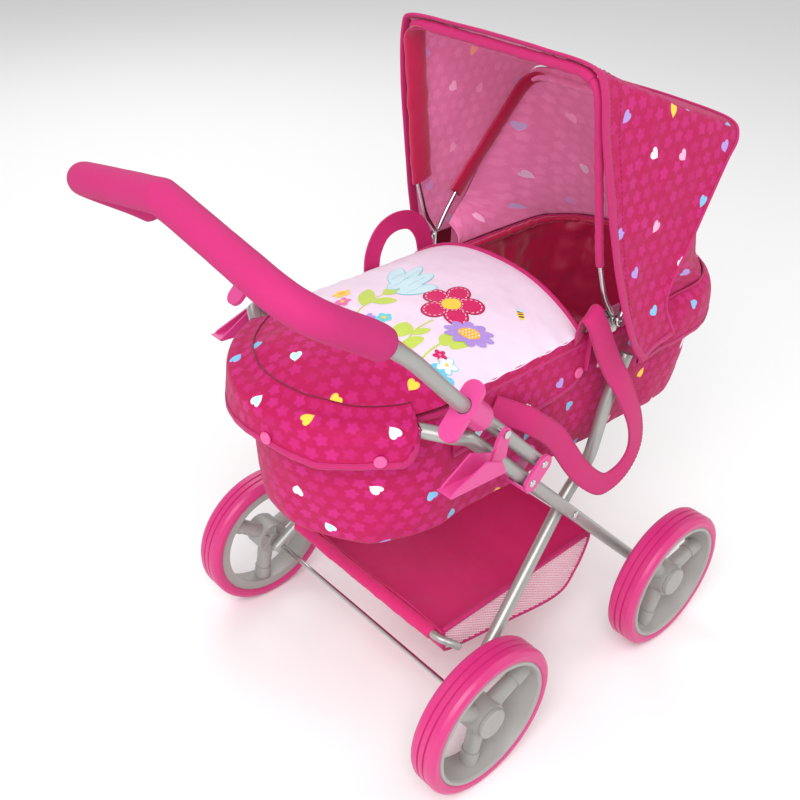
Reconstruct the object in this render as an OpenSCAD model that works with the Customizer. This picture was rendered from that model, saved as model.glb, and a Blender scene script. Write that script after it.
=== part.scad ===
// Doll stroller with a scissor chassis, a soft carrycot and a two-bow hood.
// X points towards the hood end, Y to the left and Z up. Lengths are millimetres.

/* [Wheels] */
// Outer radius of a tyre
tyre_radius = 75; // [70:1:78]
// Width of a tyre
tyre_width = 29; // [24:1:30]
// Distance between the front and rear axles
wheelbase = 270; // [260:1:275]
// Half the distance between the wheel mid planes
half_track = 160; // [158:1:164]
// Radius of the two axle rods
axle_radius = 2.5; // [2:0.1:3]

/* [Chassis] */
// Outer radius of the chassis tubes
tube_radius = 6; // [5:0.1:6]
// Wall thickness of the chassis tubes
tube_wall = 1.2; // [0.8:0.1:2]
// Height of the scissor pivot above the floor
pivot_height = 203; // [202:1:204]
// Distance from the push leg up to the handle tube lying on it
handle_offset = 18.5; // [18:0.1:20]

/* [Handle] */
// Radius of the foam grip
grip_radius = 12; // [10:0.5:13]
// Rise of the grip at its middle
grip_rise = 27; // [20:1:30]

/* [Carrycot] */
// Half the width of the carrycot between its long sides
cot_half_width = 100; // [98:0.5:100]
// Height of the carrycot rim above the floor
rim_height = 366; // [360:1:368]
// Height of the carrycot floor above the ground
cot_floor = 240; // [236:1:246]
// Crown of the cover above its side edges
cover_crown = 35; // [25:1:40]

/* [Hood] */
// Height of the hood hinge above the ground
hinge_height = 384; // [382:1:388]
// Radius of the hood bow wires
bow_radius = 2.2; // [2:0.1:2.5]
// Thickness of the hood fabric
fabric = 1.5; // [1:0.1:2]

/* [Hidden] */
$fn = 48;

// The design is drawn about the middle of the wheelbase, then moved so that the box is centred.
frame_shift = 30;
right = -1;
left = 1;

fabric_pink = "#c81e5f";
plain_pink = "#d03e82";
dark_pink = "#960f37";
pale_lilac = "#e4d4e4";
tyre_pink = "#d73c87";
rim_grey = "#afaca8";
tube_grey = "#a5a5a2";
steel = "#c9c9c9";
foam_pink = "#d23c86";
board_grey = "#d8d0d4";

axle_x = wheelbase / 2;
axle_z = tyre_radius;
running_gap = 0.08;

// Push leg: straight from the front axle up to the bend behind the carrycot.
leg_foot = [axle_x, 113.5, axle_z];
leg_top = [-150, 129.5, rim_height];
leg_along = unit([leg_top.x - leg_foot.x, 0, leg_top.z - leg_foot.z]);
leg_up = [leg_along.z, 0, -leg_along.x];
bow_centre_x = -131;
bow_plan_radius = 108;
bow_tube_radius = 5;

// Scissor pivot, on the push leg.
pivot_part = (pivot_height - axle_z) / (leg_top.z - leg_foot.z);
pivot = leg_foot + pivot_part * (leg_top - leg_foot);
hood_leg_y = pivot.y - 13;

// Handle pivot and catch pivot, on the line one handle_offset above the push leg.
link_point = leg_foot + 0.7263 * (leg_top - leg_foot);
handle_pivot = link_point + handle_offset * leg_up;
catch_point = leg_foot + 0.9351 * (leg_top - leg_foot);
catch_pivot = catch_point + handle_offset * leg_up;
sleeve_base = [-138, 130, 378.6];
arm_knee = [-162, 131.5, 402];
arm_mid = [-214, 134.5, 459];
arm_high = [-246, 135, 486];
grip_corner = [-301, 133, 522];
sleeve_axis = unit(arm_knee - sleeve_base);

hinge_x = 50;

function unit(v) = v / norm(v);
function mirrored(p) = [p.x, -p.y, p.z];
function reversed(list) = [for (i = [len(list) - 1:-1:0]) list[i]];
function mix(a, b, t) = a + (b - a) * t;
function across(half) = concat(half, reversed([for (p = half) mirrored(p)]));
function across_once(half) =
    concat(half, [for (i = [len(half) - 2:-1:0]) mirrored(half[i])]);

// A corner of a polyline, rounded with a quadratic curve that starts `reach` before it.
function corner(a, b, c, reach, steps) =
    let (p = b + unit(a - b) * reach, q = b + unit(c - b) * reach)
    [for (i = [0:steps]) let (t = i / steps) (1 - t) * (1 - t) * p + 2 * t * (1 - t) * b + t * t * q];
function rounded(path, reach, steps = 5) = [
    path[0],
    for (i = [1:len(path) - 2]) each corner(path[i - 1], path[i], path[i + 1], reach[i - 1], steps),
    path[len(path) - 1]
];
function tangent(path, i) = unit(path[min(i + 1, len(path) - 1)] - path[max(i - 1, 0)]);
function ring(centre, along, ref, radius, sides) =
    let (s = unit(cross(ref, along)), u = cross(along, s))
    [for (k = [0:sides - 1]) centre + radius * (cos(360 * k / sides) * s + sin(360 * k / sides) * u)];

// Outline of the carrycot in plan: a half circle at the foot, rounded corners at the head.
head_radius = 70;
head_centre_x = 172;
head_side = cot_half_width - head_radius;
function plan_point(angle, grow, z) =
    angle > 90 && angle < 270
    ? [bow_centre_x + (cot_half_width + grow) * cos(angle), (cot_half_width + grow) * sin(angle), z]
    : [head_centre_x + (head_radius + grow) * cos(angle),
       (angle <= 90 ? head_side : -head_side) + (head_radius + grow) * sin(angle), z];
plan_angles = [
    for (a = [0:15:90]) a,
    for (a = [90.01:17.998:270]) a,
    for (a = [270:15:345]) a,
    359.99
];
function plan(grow, z) = [for (a = plan_angles) plan_point(a, grow, z)];

// Skin over a list of rings; loop joins the last ring to the first, or else both ends are capped.
module skin(rings, loop = false) {
    n = len(rings);
    m = len(rings[0]);
    last = loop ? n - 1 : n - 2;
    sides = [
        for (i = [0:last]) for (k = [0:m - 1])
            let (j = (i + 1) % n, a = i * m + k, b = i * m + (k + 1) % m)
            let (c = j * m + (k + 1) % m, d = j * m + k)
            each [[a, c, b], [a, d, c]]
    ];
    caps = loop ? [] : [[for (k = [0:m - 1]) k], [for (k = [m - 1:-1:0]) (n - 1) * m + k]];
    polyhedron(points = [for (r = rings) each r], faces = concat(sides, caps), convexity = 8);
}

// Hollow tube along a path.
module hollow_tube(path, radius, wall, ref, sides = 14) {
    outer = [for (i = [0:len(path) - 1]) ring(path[i], tangent(path, i), ref, radius, sides)];
    inner = [for (i = [0:len(path) - 1]) ring(path[i], tangent(path, i), ref, radius - wall, sides)];
    skin(concat(outer, reversed(inner)), loop = true);
}
module solid_rod(path, radius, ref, sides = 10) {
    skin([for (i = [0:len(path) - 1]) ring(path[i], tangent(path, i), ref, radius, sides)]);
}

// Sheet of fabric between two grids of points, the outer face and the inner face.
module sheet(outer, inner) {
    n = len(outer);
    m = len(outer[0]);
    base = n * m;
    faces = [
        for (i = [0:n - 2]) for (k = [0:m - 2])
            let (a = i * m + k, b = a + 1, c = a + m + 1, d = a + m)
            each [[a, b, c], [a, c, d], [base + a, base + c, base + b], [base + a, base + d, base + c]],
        for (k = [0:m - 2]) let (a = k, b = k + 1) each [[a, base + a, base + b], [a, base + b, b]],
        for (k = [0:m - 2]) let (a = (n - 1) * m + k, b = a + 1)
            each [[a, base + b, base + a], [a, b, base + b]],
        for (i = [0:n - 2]) let (a = i * m, b = a + m) each [[a, base + b, base + a], [a, b, base + b]],
        for (i = [0:n - 2]) let (a = i * m + m - 1, b = a + m)
            each [[a, base + a, base + b], [a, base + b, b]]
    ];
    polyhedron(points = concat([for (r = outer) each r], [for (r = inner) each r]), faces = faces,
               convexity = 8);
}

module placed() {
    translate([frame_shift, 0, 0]) children();
}
// Children drawn on the right side (negative Y), or mirrored to the left.
module side(hand) {
    placed() mirror([0, hand == right ? 1 : 0, 0]) children();
}
module both_sides() {
    for (hand = [right, left]) side(hand) children();
}
// Cylinder along Y, centred on a point.
module cross_rod(point, radius, length) {
    translate(point) rotate([90, 0, 0]) cylinder(r = radius, h = length, center = true);
}
// Children with local X along the push leg and local Z up from it.
module on_leg(point) {
    translate(point) rotate([0, atan2(-leg_along.z, leg_along.x) , 0]) children();
}

// ---- chassis ----

leg_end = leg_foot - 8 * unit(leg_top - leg_foot);
bow_start = 112;
bow_half = [
    leg_end, leg_top,
    [-163, 122, rim_height + 1],
    for (a = [bow_start:8.5:180])
        [bow_centre_x + bow_plan_radius * cos(a), bow_plan_radius * sin(a), rim_height]
];
bow_side = concat([bow_half[0], leg_foot], corner(leg_foot, leg_top, bow_half[2], 9, 5),
                  [for (i = [3:len(bow_half) - 1]) bow_half[i]]);
leg_ref = [0.7, 0, 0.7];

module push_frame() {
    color(tube_grey) placed() difference() {
        hollow_tube(across(bow_side), tube_radius, tube_wall, leg_ref);
        cross_rod([axle_x, 0, axle_z], axle_radius, 2 * half_track);
        cross_rod([pivot.x, 0, pivot.z], 2.5, 2 * half_track);
        for (hand = [right, left])
            cross_rod([link_point.x, hand * link_point.y, link_point.z], 2, 20);
    }
}
module front_axle() {
    color(steel) placed() cross_rod([axle_x, 0, axle_z], axle_radius, 2 * (half_track + 12));
}
module axle_spacers() {
    color(rim_grey) both_sides() difference() {
        cross_rod([axle_x, 133, axle_z], 6.5, 19);
        cross_rod([axle_x, 133, axle_z], axle_radius, 30);
    }
}

bracket_gap = 7.6;
bracket_wall = 3;
module bracket_outline() {
    hull() {
        translate([0, 0]) circle(r = 8.4, $fn = 32);
        translate([0, handle_offset]) circle(r = 8.4, $fn = 32);
    }
}
module link_bracket(hand) {
    color(plain_pink) side(hand) difference() {
        translate(link_point) rotate([0, leg_pitch, 0]) {
            for (face = [-1, 1])
                translate([0, face * (bracket_gap + bracket_wall / 2), 0])
                    rotate([90, 0, 0]) linear_extrude(bracket_wall, center = true) bracket_outline();
            translate([0, 0, -bracket_gap - 0.6])
                cube([15, 2 * bracket_gap + 2, 2], center = true);
        }
        cross_rod(link_point, 2, 40);
        cross_rod(handle_pivot, 2, 40);
    }
}
leg_pitch = atan2(leg_up.x, leg_up.z);
module link_bracket_right() { link_bracket(right); }
module link_bracket_left() { link_bracket(left); }

module rivet(point, length, radius, head) {
    cross_rod(point, radius, length);
    for (face = [-1, 1])
        cross_rod([point.x, point.y + face * (length / 2 + 0.6), point.z], head, 1.2);
}
module leg_rivets() {
    rivet_length = 2 * (bracket_gap + bracket_wall);
    color(steel) both_sides() {
        rivet(link_point, rivet_length, 2, 3.6);
        rivet(handle_pivot, rivet_length, 2, 3.6);
        rivet([pivot.x, pivot.y - 6.5, pivot.z], 26, 2.5, 3.8);
    }
}

// ---- hood legs ----

rear_axle_point = [-axle_x, 135, axle_z];
hood_leg_path = rounded([
    rear_axle_point - 8 * unit([pivot.x, hood_leg_y, pivot.z] - rear_axle_point),
    [pivot.x + 8, hood_leg_y - 1, pivot.z + 7],
    [44, hood_leg_y + 0.6, 240],
    [57, hood_leg_y + 0.6, 300],
    [76, hood_leg_y + 0.6, 341]
], [14, 14, 14], 4);
module hood_leg(hand) {
    color(tube_grey) side(hand) difference() {
        hollow_tube(hood_leg_path, tube_radius, tube_wall, [0, 1, 0]);
        cross_rod(rear_axle_point, axle_radius, 30);
        cross_rod([pivot.x, hood_leg_y, pivot.z], 2.5 + running_gap, 30);
    }
}
module hood_leg_right() { hood_leg(right); }
module hood_leg_left() { hood_leg(left); }
module rear_axle() {
    color(steel) placed() cross_rod([-axle_x, 0, axle_z], axle_radius, 2 * (half_track + 12));
}
bar_half = [
    [-126, 121, 122], [-133, 112, 126], [-138, 100, 128], [-139, 60, 128], [-139, 0, 128]
];
module basket_bar() {
    color(tube_grey) placed() solid_rod(across_once(bar_half), 3.6, [0, 0, 1]);
}

// ---- handle ----

handle_half = concat(
    [handle_pivot + 7 * unit(handle_pivot - catch_pivot), handle_pivot, catch_pivot],
    rounded([sleeve_base, arm_knee, arm_mid, arm_high, grip_corner,
             [grip_corner.x - 2, 40, grip_corner.z + 0.7 * grip_rise],
             [grip_corner.x - 3, 0, grip_corner.z + grip_rise]], [8, 14, 12, 32, 20], 5)
);
grip_from = 16;
grip_half = [for (i = [grip_from:len(handle_half) - 1]) handle_half[i]];
module handle_tube() {
    color(tube_grey) placed() difference() {
        hollow_tube(across_once(handle_half), tube_radius, tube_wall, leg_ref);
        for (hand = [right, left]) {
            cross_rod([handle_pivot.x, hand * handle_pivot.y, handle_pivot.z], 2 + running_gap, 30);
            cross_rod([catch_pivot.x, hand * catch_pivot.y, catch_pivot.z], 1.8, 30);
        }
    }
}
module handle_grip() {
    color(foam_pink) placed()
        hollow_tube(across_once(grip_half), grip_radius, grip_radius - tube_radius - 0.15, leg_ref, 18);
}
catch_face = 138.2;
module catch_rivets() {
    inner = catch_pivot.y - tube_radius - 1.2;
    outer = catch_face + 3.4;
    color(steel) both_sides() {
        cross_rod([catch_pivot.x, (inner + outer) / 2, catch_pivot.z], 1.8, outer - inner);
        cross_rod([catch_pivot.x, outer + 0.5, catch_pivot.z], 3.4, 1);
        cross_rod([catch_pivot.x, inner + 0.5, catch_pivot.z], 3.2, 1);
    }
}

// Lock sleeve: a collar on the handle tube with an oval finger flange.
sleeve_length = 27;
sleeve_radius = 11.3;
flange_width = 9;
sleeve_gap = 0.45;
module on_sleeve() {
    pitch = acos(sleeve_axis.z);
    yaw = atan2(sleeve_axis.y, sleeve_axis.x);
    translate(sleeve_base) rotate([0, pitch, yaw]) children();
}
module sleeve(hand) {
    color(plain_pink) side(hand) on_sleeve() difference() {
        union() {
            cylinder(r = sleeve_radius, h = sleeve_length);
            translate([0, 0, sleeve_length - 4]) linear_extrude(4) hull() {
                translate([-12, 0]) circle(r = flange_width, $fn = 32);
                translate([20, 0]) circle(r = flange_width, $fn = 32);
            }
        }
        translate([0, 0, -1]) cylinder(r = tube_radius + sleeve_gap, h = sleeve_length + 2);
    }
}
module sleeve_right() { sleeve(right); }
module sleeve_left() { sleeve(left); }

// Catch: an eye on the handle tube, an arm across the push leg and an open finger tray.
tray_tip = [-66, -20];
tray_root = [-10, -24];
tray_width = 13;
module catch_wall(points) {
    rotate([90, 0, 0]) linear_extrude(1.6) polygon(points);
}
module catch_part(hand) {
    color(plain_pink) side(hand) translate([catch_pivot.x, 0, catch_pivot.z]) {
        difference() {
            union() {
                cross_rod([0, catch_face + 1.5, 0], 5, 3);
                translate([0, catch_face + 3, 0]) rotate([90, 0, 0]) linear_extrude(3)
                    polygon([[-4, 3], [4.8, 0], [2, -22], [-8, -26], [-14, -22], [-9, -4]]);
            }
            cross_rod([0, catch_face, 0], 1.8 + running_gap, 20);
        }
        translate([0, catch_face + tray_width, 0]) rotate([90, 0, 0]) linear_extrude(tray_width)
            polygon([[-8, -26], tray_tip + [0, -1.6], tray_tip + [-3, 1], tray_tip + [0, 1], [-12, -23]]);
        translate([0, catch_face + tray_width, 0])
            catch_wall([[-8, -26], tray_tip, tray_tip + [4, 3], [-30, -6], [-13, -14]]);
        translate([0, catch_face + 1.6, 0])
            catch_wall([[-8, -26], tray_tip, tray_tip + [4, 3], [-36, -2], [-13, -12]]);
    }
}
module catch_right() { catch_part(right); }
module catch_left() { catch_part(left); }

// ---- wheels ----

rim_outer = 64;
groove_depth = 1.6;
module tyre(x, hand) {
    half = tyre_width / 2;
    color(tyre_pink) side(hand) translate([x, half_track, axle_z]) rotate([90, 0, 0])
        rotate_extrude($fn = 96) polygon([
            [rim_outer, -half + 1], [rim_outer + 2, -half], [tyre_radius - 5, -half],
            [tyre_radius - 1.5, -half + 2], [tyre_radius, -half + 5],
            [tyre_radius, -4.5], [tyre_radius - groove_depth, -3.8], [tyre_radius - groove_depth, -3],
            [tyre_radius, -2.3], [tyre_radius, 2.3], [tyre_radius - groove_depth, 3],
            [tyre_radius - groove_depth, 3.8], [tyre_radius, 4.5],
            [tyre_radius, half - 5], [tyre_radius - 1.5, half - 2], [tyre_radius - 5, half],
            [rim_outer + 2, half], [rim_outer, half - 1]
        ]);
}
module tyre_front_right() { tyre(axle_x, right); }
module tyre_front_left() { tyre(axle_x, left); }
module tyre_rear_right() { tyre(-axle_x, right); }
module tyre_rear_left() { tyre(-axle_x, left); }

// Local Z of a wheel points outwards from the stroller.
module on_wheel(x, hand) {
    side(hand) translate([x, half_track, axle_z]) rotate([-90, 0, 0]) children();
}
spoke_reach = 58;
module rim(x, hand, phase) {
    color(rim_grey) on_wheel(x, hand) difference() {
        union() {
            rotate_extrude($fn = 96) polygon([
                [rim_outer, -12.5], [rim_outer, 13], [63, 14.2], [60.5, 14.2], [59.5, 12.5],
                [55, -8], [54.5, -12.5]
            ]);
            for (k = [0:2]) rotate([0, 0, phase + 120 * k]) {
                translate([12, 0, -2]) rotate([0, 90, 0]) cylinder(r1 = 8.2, r2 = 7.2, h = spoke_reach - 12);
                translate([42, 0, -2]) rotate([0, 90, 0]) cylinder(r = 8.6, h = spoke_reach - 42);
            }
            translate([0, 0, -14]) cylinder(r = 17, h = 24);
            translate([0, 0, -17.5]) cylinder(r = 8, h = 6);
            for (k = [0:5]) rotate([0, 0, phase + 60 * k])
                translate([7, -1, -16]) cube([8, 2, 4]);
        }
        translate([0, 0, -20]) cylinder(r = axle_radius + running_gap, h = 40);
        translate([0, 0, 8.5]) cylinder(r = 13.5, h = 4);
    }
}
front_phase = 10;
rear_phase = 20;
module rim_front_right() { rim(axle_x, right, -front_phase); }
module rim_front_left() { rim(axle_x, left, -front_phase); }
module rim_rear_right() { rim(-axle_x, right, -rear_phase); }
module rim_rear_left() { rim(-axle_x, left, -rear_phase); }

module hub_cap(x, hand) {
    color(rim_grey) on_wheel(x, hand) rotate_extrude()
        polygon([[5, 8.6], [13.4, 8.6], [13.4, 10.2], [15, 10.2], [15, 13.4], [14, 14.6],
            [8, 15.4], [0, 15.6], [0, 13], [5, 13]]);
}
module hub_cap_front_right() { hub_cap(axle_x, right); }
module hub_cap_front_left() { hub_cap(axle_x, left); }
module hub_cap_rear_right() { hub_cap(-axle_x, right); }
module hub_cap_rear_left() { hub_cap(-axle_x, left); }

// ---- carrycot ----

cot_wall = 2;
outer_profile = [[-26, 0], [-14, 3], [-7, 14], [-2, 60], [0, rim_height - cot_floor]];
module carrycot_shell() {
    color(fabric_pink) placed() skin(concat(
        [for (p = outer_profile) plan(p[0], cot_floor + p[1])],
        reversed([for (p = outer_profile)
            plan(p[0] - cot_wall, cot_floor + p[1] + (p[1] < 10 ? cot_wall : 0))])
    ));
}
lining_gap = 2.3;
lining_wall = 1.2;
module carrycot_lining() {
    color(dark_pink) placed() skin(concat(
        [for (p = outer_profile) plan(p[0] - lining_gap, cot_floor + p[1] + (p[1] < 10 ? lining_gap : 0))],
        reversed([for (p = outer_profile)
            plan(p[0] - lining_gap - lining_wall,
                 cot_floor + p[1] + (p[1] < 10 ? lining_gap + lining_wall : 0))])
    ));
}
module rim_wire() {
    path = plan(-1.8, rim_height + 2.2);
    n = len(path);
    color(steel) placed() skin([
        for (i = [0:n - 1])
            ring(path[i], unit(path[(i + 1) % n] - path[(i + n - 1) % n]), [0, 0, 1], 1.8, 8)
    ], loop = true);
}
board_z = cot_floor + 4;
module base_board() {
    color(board_grey) placed() skin([plan(-31, board_z), plan(-31, board_z + 3)]);
}
module mattress() {
    color(pale_lilac) placed() skin([
        plan(-36, board_z + 3.3), plan(-31, board_z + 7), plan(-30, board_z + 12), plan(-38, board_z + 17)
    ]);
}

// Arch of the cover at a station along X: from one side edge over the crown to the other.
arch_steps = 12;
function arch(x, half, edge, crown, lift) = [
    for (k = [0:arch_steps])
        let (s = -cos(180 * k / arch_steps))
        [x, (half + lift) * s, edge + (crown + lift) * (1 - pow(abs(s), 2.4))]
];
cover_front = 15;
cover_seam = -132;
cover_half = cot_half_width + 1.5;
cover_edge = rim_height + 12;
foot_crown = 22;
module cover_panel() {
    stations = [for (i = [0:4]) let (t = i / 4)
        [mix(cover_front, cover_seam, t), mix(cover_crown, foot_crown, t)]];
    color(pale_lilac) placed() sheet(
        [for (s = stations) arch(s[0], cover_half, cover_edge, s[1], 0)],
        [for (s = stations) arch(s[0], cover_half - 2, cover_edge, s[1] - 2, 0)]
    );
}
// The cover runs down to the rim over the rounded foot end.
foot_steps = 6;
foot_turn = 82;
module foot_cover() {
    stations = [for (i = [0:foot_steps]) let (a = foot_turn * i / foot_steps)
        [cover_seam - 0.3 - (cover_half - 1) * sin(a), cover_half * cos(a),
         mix(cover_edge, rim_height + 6, sin(a)), foot_crown * cos(a) + 2]];
    color(fabric_pink) placed() sheet(
        [for (s = stations) arch(s[0], s[1], s[2], s[3], 0)],
        [for (s = stations) arch(s[0] + 0.3, s[1] - 1.5, s[2] - 0.3, s[3] - 1.8, 0)]
    );
}
// Flap that hangs from the foot seam, over the bow of the push frame.
module foot_flap() {
    profile = [[1.8, 6.6], [14, 5.5], [15.6, 1], [16, -8], [17.5, -26]];
    angles = [for (a = [112:8:248]) a];
    function strip(grow) = [for (p = profile) [for (a = angles)
        plan_point(a, p[0] + grow, rim_height + p[1] + (p[0] < 15 ? grow : 0))]];
    color(fabric_pink) placed() sheet(strip(0), strip(-1.3));
}
// Flap that hangs at each long side, over the rim.
module side_flap(hand) {
    color(fabric_pink) side(hand) translate([0, cot_half_width + 1.4, 0]) rotate([90, 0, 0])
        linear_extrude(1.1) polygon([
            [cover_seam, rim_height + 11.5], [24, rim_height + 11.5], [28, rim_height - 10],
            [27, rim_height - 26], [12, rim_height - 38], [-23, rim_height - 43],
            [cover_seam, rim_height - 44]
        ]);
}
module side_flap_right() { side_flap(right); }
module side_flap_left() { side_flap(left); }

snap_angles = [127, 188, 233];
module snaps() {
    color(plain_pink) placed() {
        for (a = snap_angles)
            translate(plan_point(a, 17.4, rim_height - 18)) rotate([0, 90, a]) cylinder(r = 5, h = 2.4);
        for (hand = [right, left])
            cross_rod([17, hand * (cot_half_width + 1.65), rim_height - 25], 5, 0.4);
    }
}

// Band of fabric that hangs outside the rim round the head end.
skirt_from = 88;
module head_skirt() {
    profile = [[3, 6], [9, 0], [13, -12], [14, -26], [13, -38]];
    head_angles = [for (a = [-90:15:90]) a];
    function band(grow) = [for (p = profile) concat(
        [[skirt_from, -(cot_half_width + p[0] + grow), rim_height + p[1]]],
        [for (a = head_angles) plan_point(a < 0 ? a + 360 : a, p[0] + grow, rim_height + p[1])],
        [[skirt_from, cot_half_width + p[0] + grow, rim_height + p[1]]]
    )];
    color(fabric_pink) placed() sheet(band(0), band(-fabric));
}

// Carry straps: webbing loops sewn to the rim of the carrycot.
strap_half = 11;
strap_path_right = [
    [-92, 103.2, 352], [-82, 106, 346], [-62, 113, 334], [-50, 116.8, 324], [-24, 118, 300],
    [10, 122, 252], [42, 124, 221], [62, 124, 215], [82, 124, 222], [92, 124, 242], [84, 124, 275],
    [62, 121.5, 315], [46, 118, 340], [38, 117.5, 358], [33, 112, 370], [32, 104.6, 380]
];
strap_path_left = [
    [-40, 104, 372], [-36, 106, 392], [-24, 108, 408], [-6, 109, 414], [14, 109, 410], [26, 107, 396],
    [30, 104, 374]
];
module strap(path, wide) {
    n = len(path);
    skin([for (i = [0:n - 1])
        let (t = tangent(path, i), w = wide * unit(cross(t, [0, 1, 0])), h = [0, 0.9, 0])
        [path[i] - w - h, path[i] - w + h, path[i] + w + h, path[i] + w - h]]);
}
module carry_strap_right() {
    color(plain_pink) side(right) strap(strap_path_right, strap_half);
}
module carry_strap_left() {
    color(plain_pink) side(left) strap(strap_path_left, strap_half - 2);
}

// ---- hood ----

module hood_hinges() {
    color(steel) both_sides() {
        difference() {
            translate([hinge_x - 9, cot_half_width + 1, rim_height + 1])
                cube([20, 2, hinge_height - rim_height + 8]);
            cross_rod([hinge_x, cot_half_width, hinge_height], 2, 20);
        }
        cross_rod([hinge_x, 108, hinge_height], 2, 14);
        cross_rod([hinge_x, 115.6, hinge_height], 3.6, 1.2);
    }
}
front_bow_y = 106;
rear_bow_y = 111.4;
function bow_path(points, reach) = rounded(across(points), reach, 4);
front_bow_half = [
    [hinge_x, front_bow_y, hinge_height], [30, front_bow_y, 412], [17, 105.5, 450], [-7, 98.5, 596]
];
rear_bow_half = [
    [hinge_x, rear_bow_y, hinge_height], [60, rear_bow_y, 402], [76, 112, 423], [168, 110, 521]
];
bow_reach = [10, 8, 20, 20, 8, 10];
module bow(half, ref) {
    solid_rod(bow_path(half, bow_reach), bow_radius, ref);
}
module bow_eye(y) {
    for (hand = [right, left])
        cross_rod([hinge_x, hand * y, hinge_height], 4.6, 2 * bow_radius);
}
module front_bow() {
    color(steel) placed() difference() {
        union() { bow(front_bow_half, [1, 0, 0.3]); bow_eye(front_bow_y); }
        cross_rod([hinge_x, 0, hinge_height], 2 + running_gap, 300);
    }
}
module rear_bow() {
    color(steel) placed() difference() {
        union() { bow(rear_bow_half, [0.7, 0, -0.7]); bow_eye(rear_bow_y); }
        cross_rod([hinge_x, 0, hinge_height], 2 + running_gap, 300);
    }
}
front_edge = [
    [60, 135, 350], [43, 132, 375], [25, 124, 425], [10, 116.5, 484], [-4, 109.5, 550],
    [-9, 104.5, 590], [-11, 92, 603], [-11, 46, 605], [-11, 0, 605.5]
];
rear_edge = [
    [116, 126, 353], [96, 124.5, 393], [118, 121.5, 430], [140, 119.5, 466], [160, 118, 500],
    [172, 116.5, 518], [175, 104, 529.5], [176, 52, 533], [176, 0, 534]
];
canopy_steps = 4;
function inset_edge(edge, by) = [for (p = edge)
    [p.x, p.y - (p.y > 20 ? by * min(1, abs(p.y) / 100) : 0),
     p.z - (p.z > 500 ? by * min(1, (p.z - 490) / 100) : 0)]];
module hood_canopy() {
    function grid(f, r) = [for (i = [0:canopy_steps]) let (t = i / canopy_steps)
        across_once([for (k = [0:len(f) - 1]) mix(f[k], r[k], t)])];
    color(fabric_pink) placed() sheet(
        grid(front_edge, rear_edge),
        grid(inset_edge(front_edge, fabric + 0.6), inset_edge(rear_edge, fabric + 0.6))
    );
}
// Back panel from the rear bow down to the rim at the head end.
back_angles = [-90, -90, -80, -60, -40, -25, -12, -6, -2, 0];
back_reach = [72, 92];
back_foot = [for (k = [0:len(back_angles) - 1])
    let (a = -back_angles[k])
    k < 2 ? [back_reach[k], cot_half_width + 0.5, rim_height + 6.5] : plan_point(a, 0.5, rim_height + 6.5)];
back_top = [
    [72, 112.5, 390], [86, 117.5, 399], [100, 118.8, 414], [116, 118, 438], [138, 116.2, 472],
    [158, 114.8, 499], [170, 113, 514], [173, 102, 524.8], [174.5, 52, 529], [174.5, 0, 530]
];
module hood_back() {
    function grid(top, foot) = [for (i = [0:canopy_steps]) let (t = i / canopy_steps)
        across_once([for (k = [0:len(top) - 1]) mix(top[k], foot[k], t)])];
    inner_foot = [for (p = back_foot) p - [fabric, (p.y > 20 ? fabric : 0), 0]];
    inner_top = [for (p = back_top) p - [fabric, (p.y > 60 ? fabric : 0), fabric]];
    color(fabric_pink) placed() sheet(grid(back_top, back_foot), grid(inner_top, inner_foot));
}

// ---- basket ----

basket_half = 103;
basket_top = 132;
basket_rear = -131;
basket_under = [[basket_rear, 112], [-122, 104], [-60, 90], [30, 72], [58, 92], [71, 120]];
basket_wall = 1.6;
module basket_floor() {
    outer = concat([[basket_rear, basket_top]], basket_under, [[72, basket_top]]);
    inner = concat([[71 - basket_wall, basket_top]],
                   reversed([for (p = basket_under)
                       [p[0] * 0.985 - 0.3, p[1] + basket_wall]]),
                   [[basket_rear + basket_wall, basket_top]]);
    color(plain_pink) placed() rotate([90, 0, 0])
        linear_extrude(2 * basket_half, center = true) polygon(concat(outer, inner));
}
module basket_mesh(hand) {
    outline = concat([[basket_rear, basket_top]], basket_under, [[72, basket_top]]);
    color(plain_pink) side(hand) translate([0, basket_half + 1.2, 0]) rotate([90, 0, 0])
        linear_extrude(1.2) polygon(outline);
}
module basket_mesh_right() { basket_mesh(right); }
module basket_mesh_left() { basket_mesh(left); }

push_frame();
front_axle();
axle_spacers();
link_bracket_right();
link_bracket_left();
leg_rivets();
hood_leg_right();
hood_leg_left();
rear_axle();
basket_bar();
handle_tube();
handle_grip();
catch_rivets();
sleeve_right();
sleeve_left();
catch_right();
catch_left();
tyre_front_right();
tyre_front_left();
tyre_rear_right();
tyre_rear_left();
rim_front_right();
rim_front_left();
rim_rear_right();
rim_rear_left();
hub_cap_front_right();
hub_cap_front_left();
hub_cap_rear_right();
hub_cap_rear_left();
carrycot_shell();
carrycot_lining();
rim_wire();
base_board();
mattress();
cover_panel();
foot_cover();
foot_flap();
side_flap_right();
side_flap_left();
snaps();
head_skirt();
hood_hinges();
carry_strap_right();
carry_strap_left();
rear_bow();
front_bow();
hood_canopy();
hood_back();
basket_floor();
basket_mesh_right();
basket_mesh_left();
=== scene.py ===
import math

import bpy
import numpy as np
from mathutils import Matrix, Vector, noise


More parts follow.
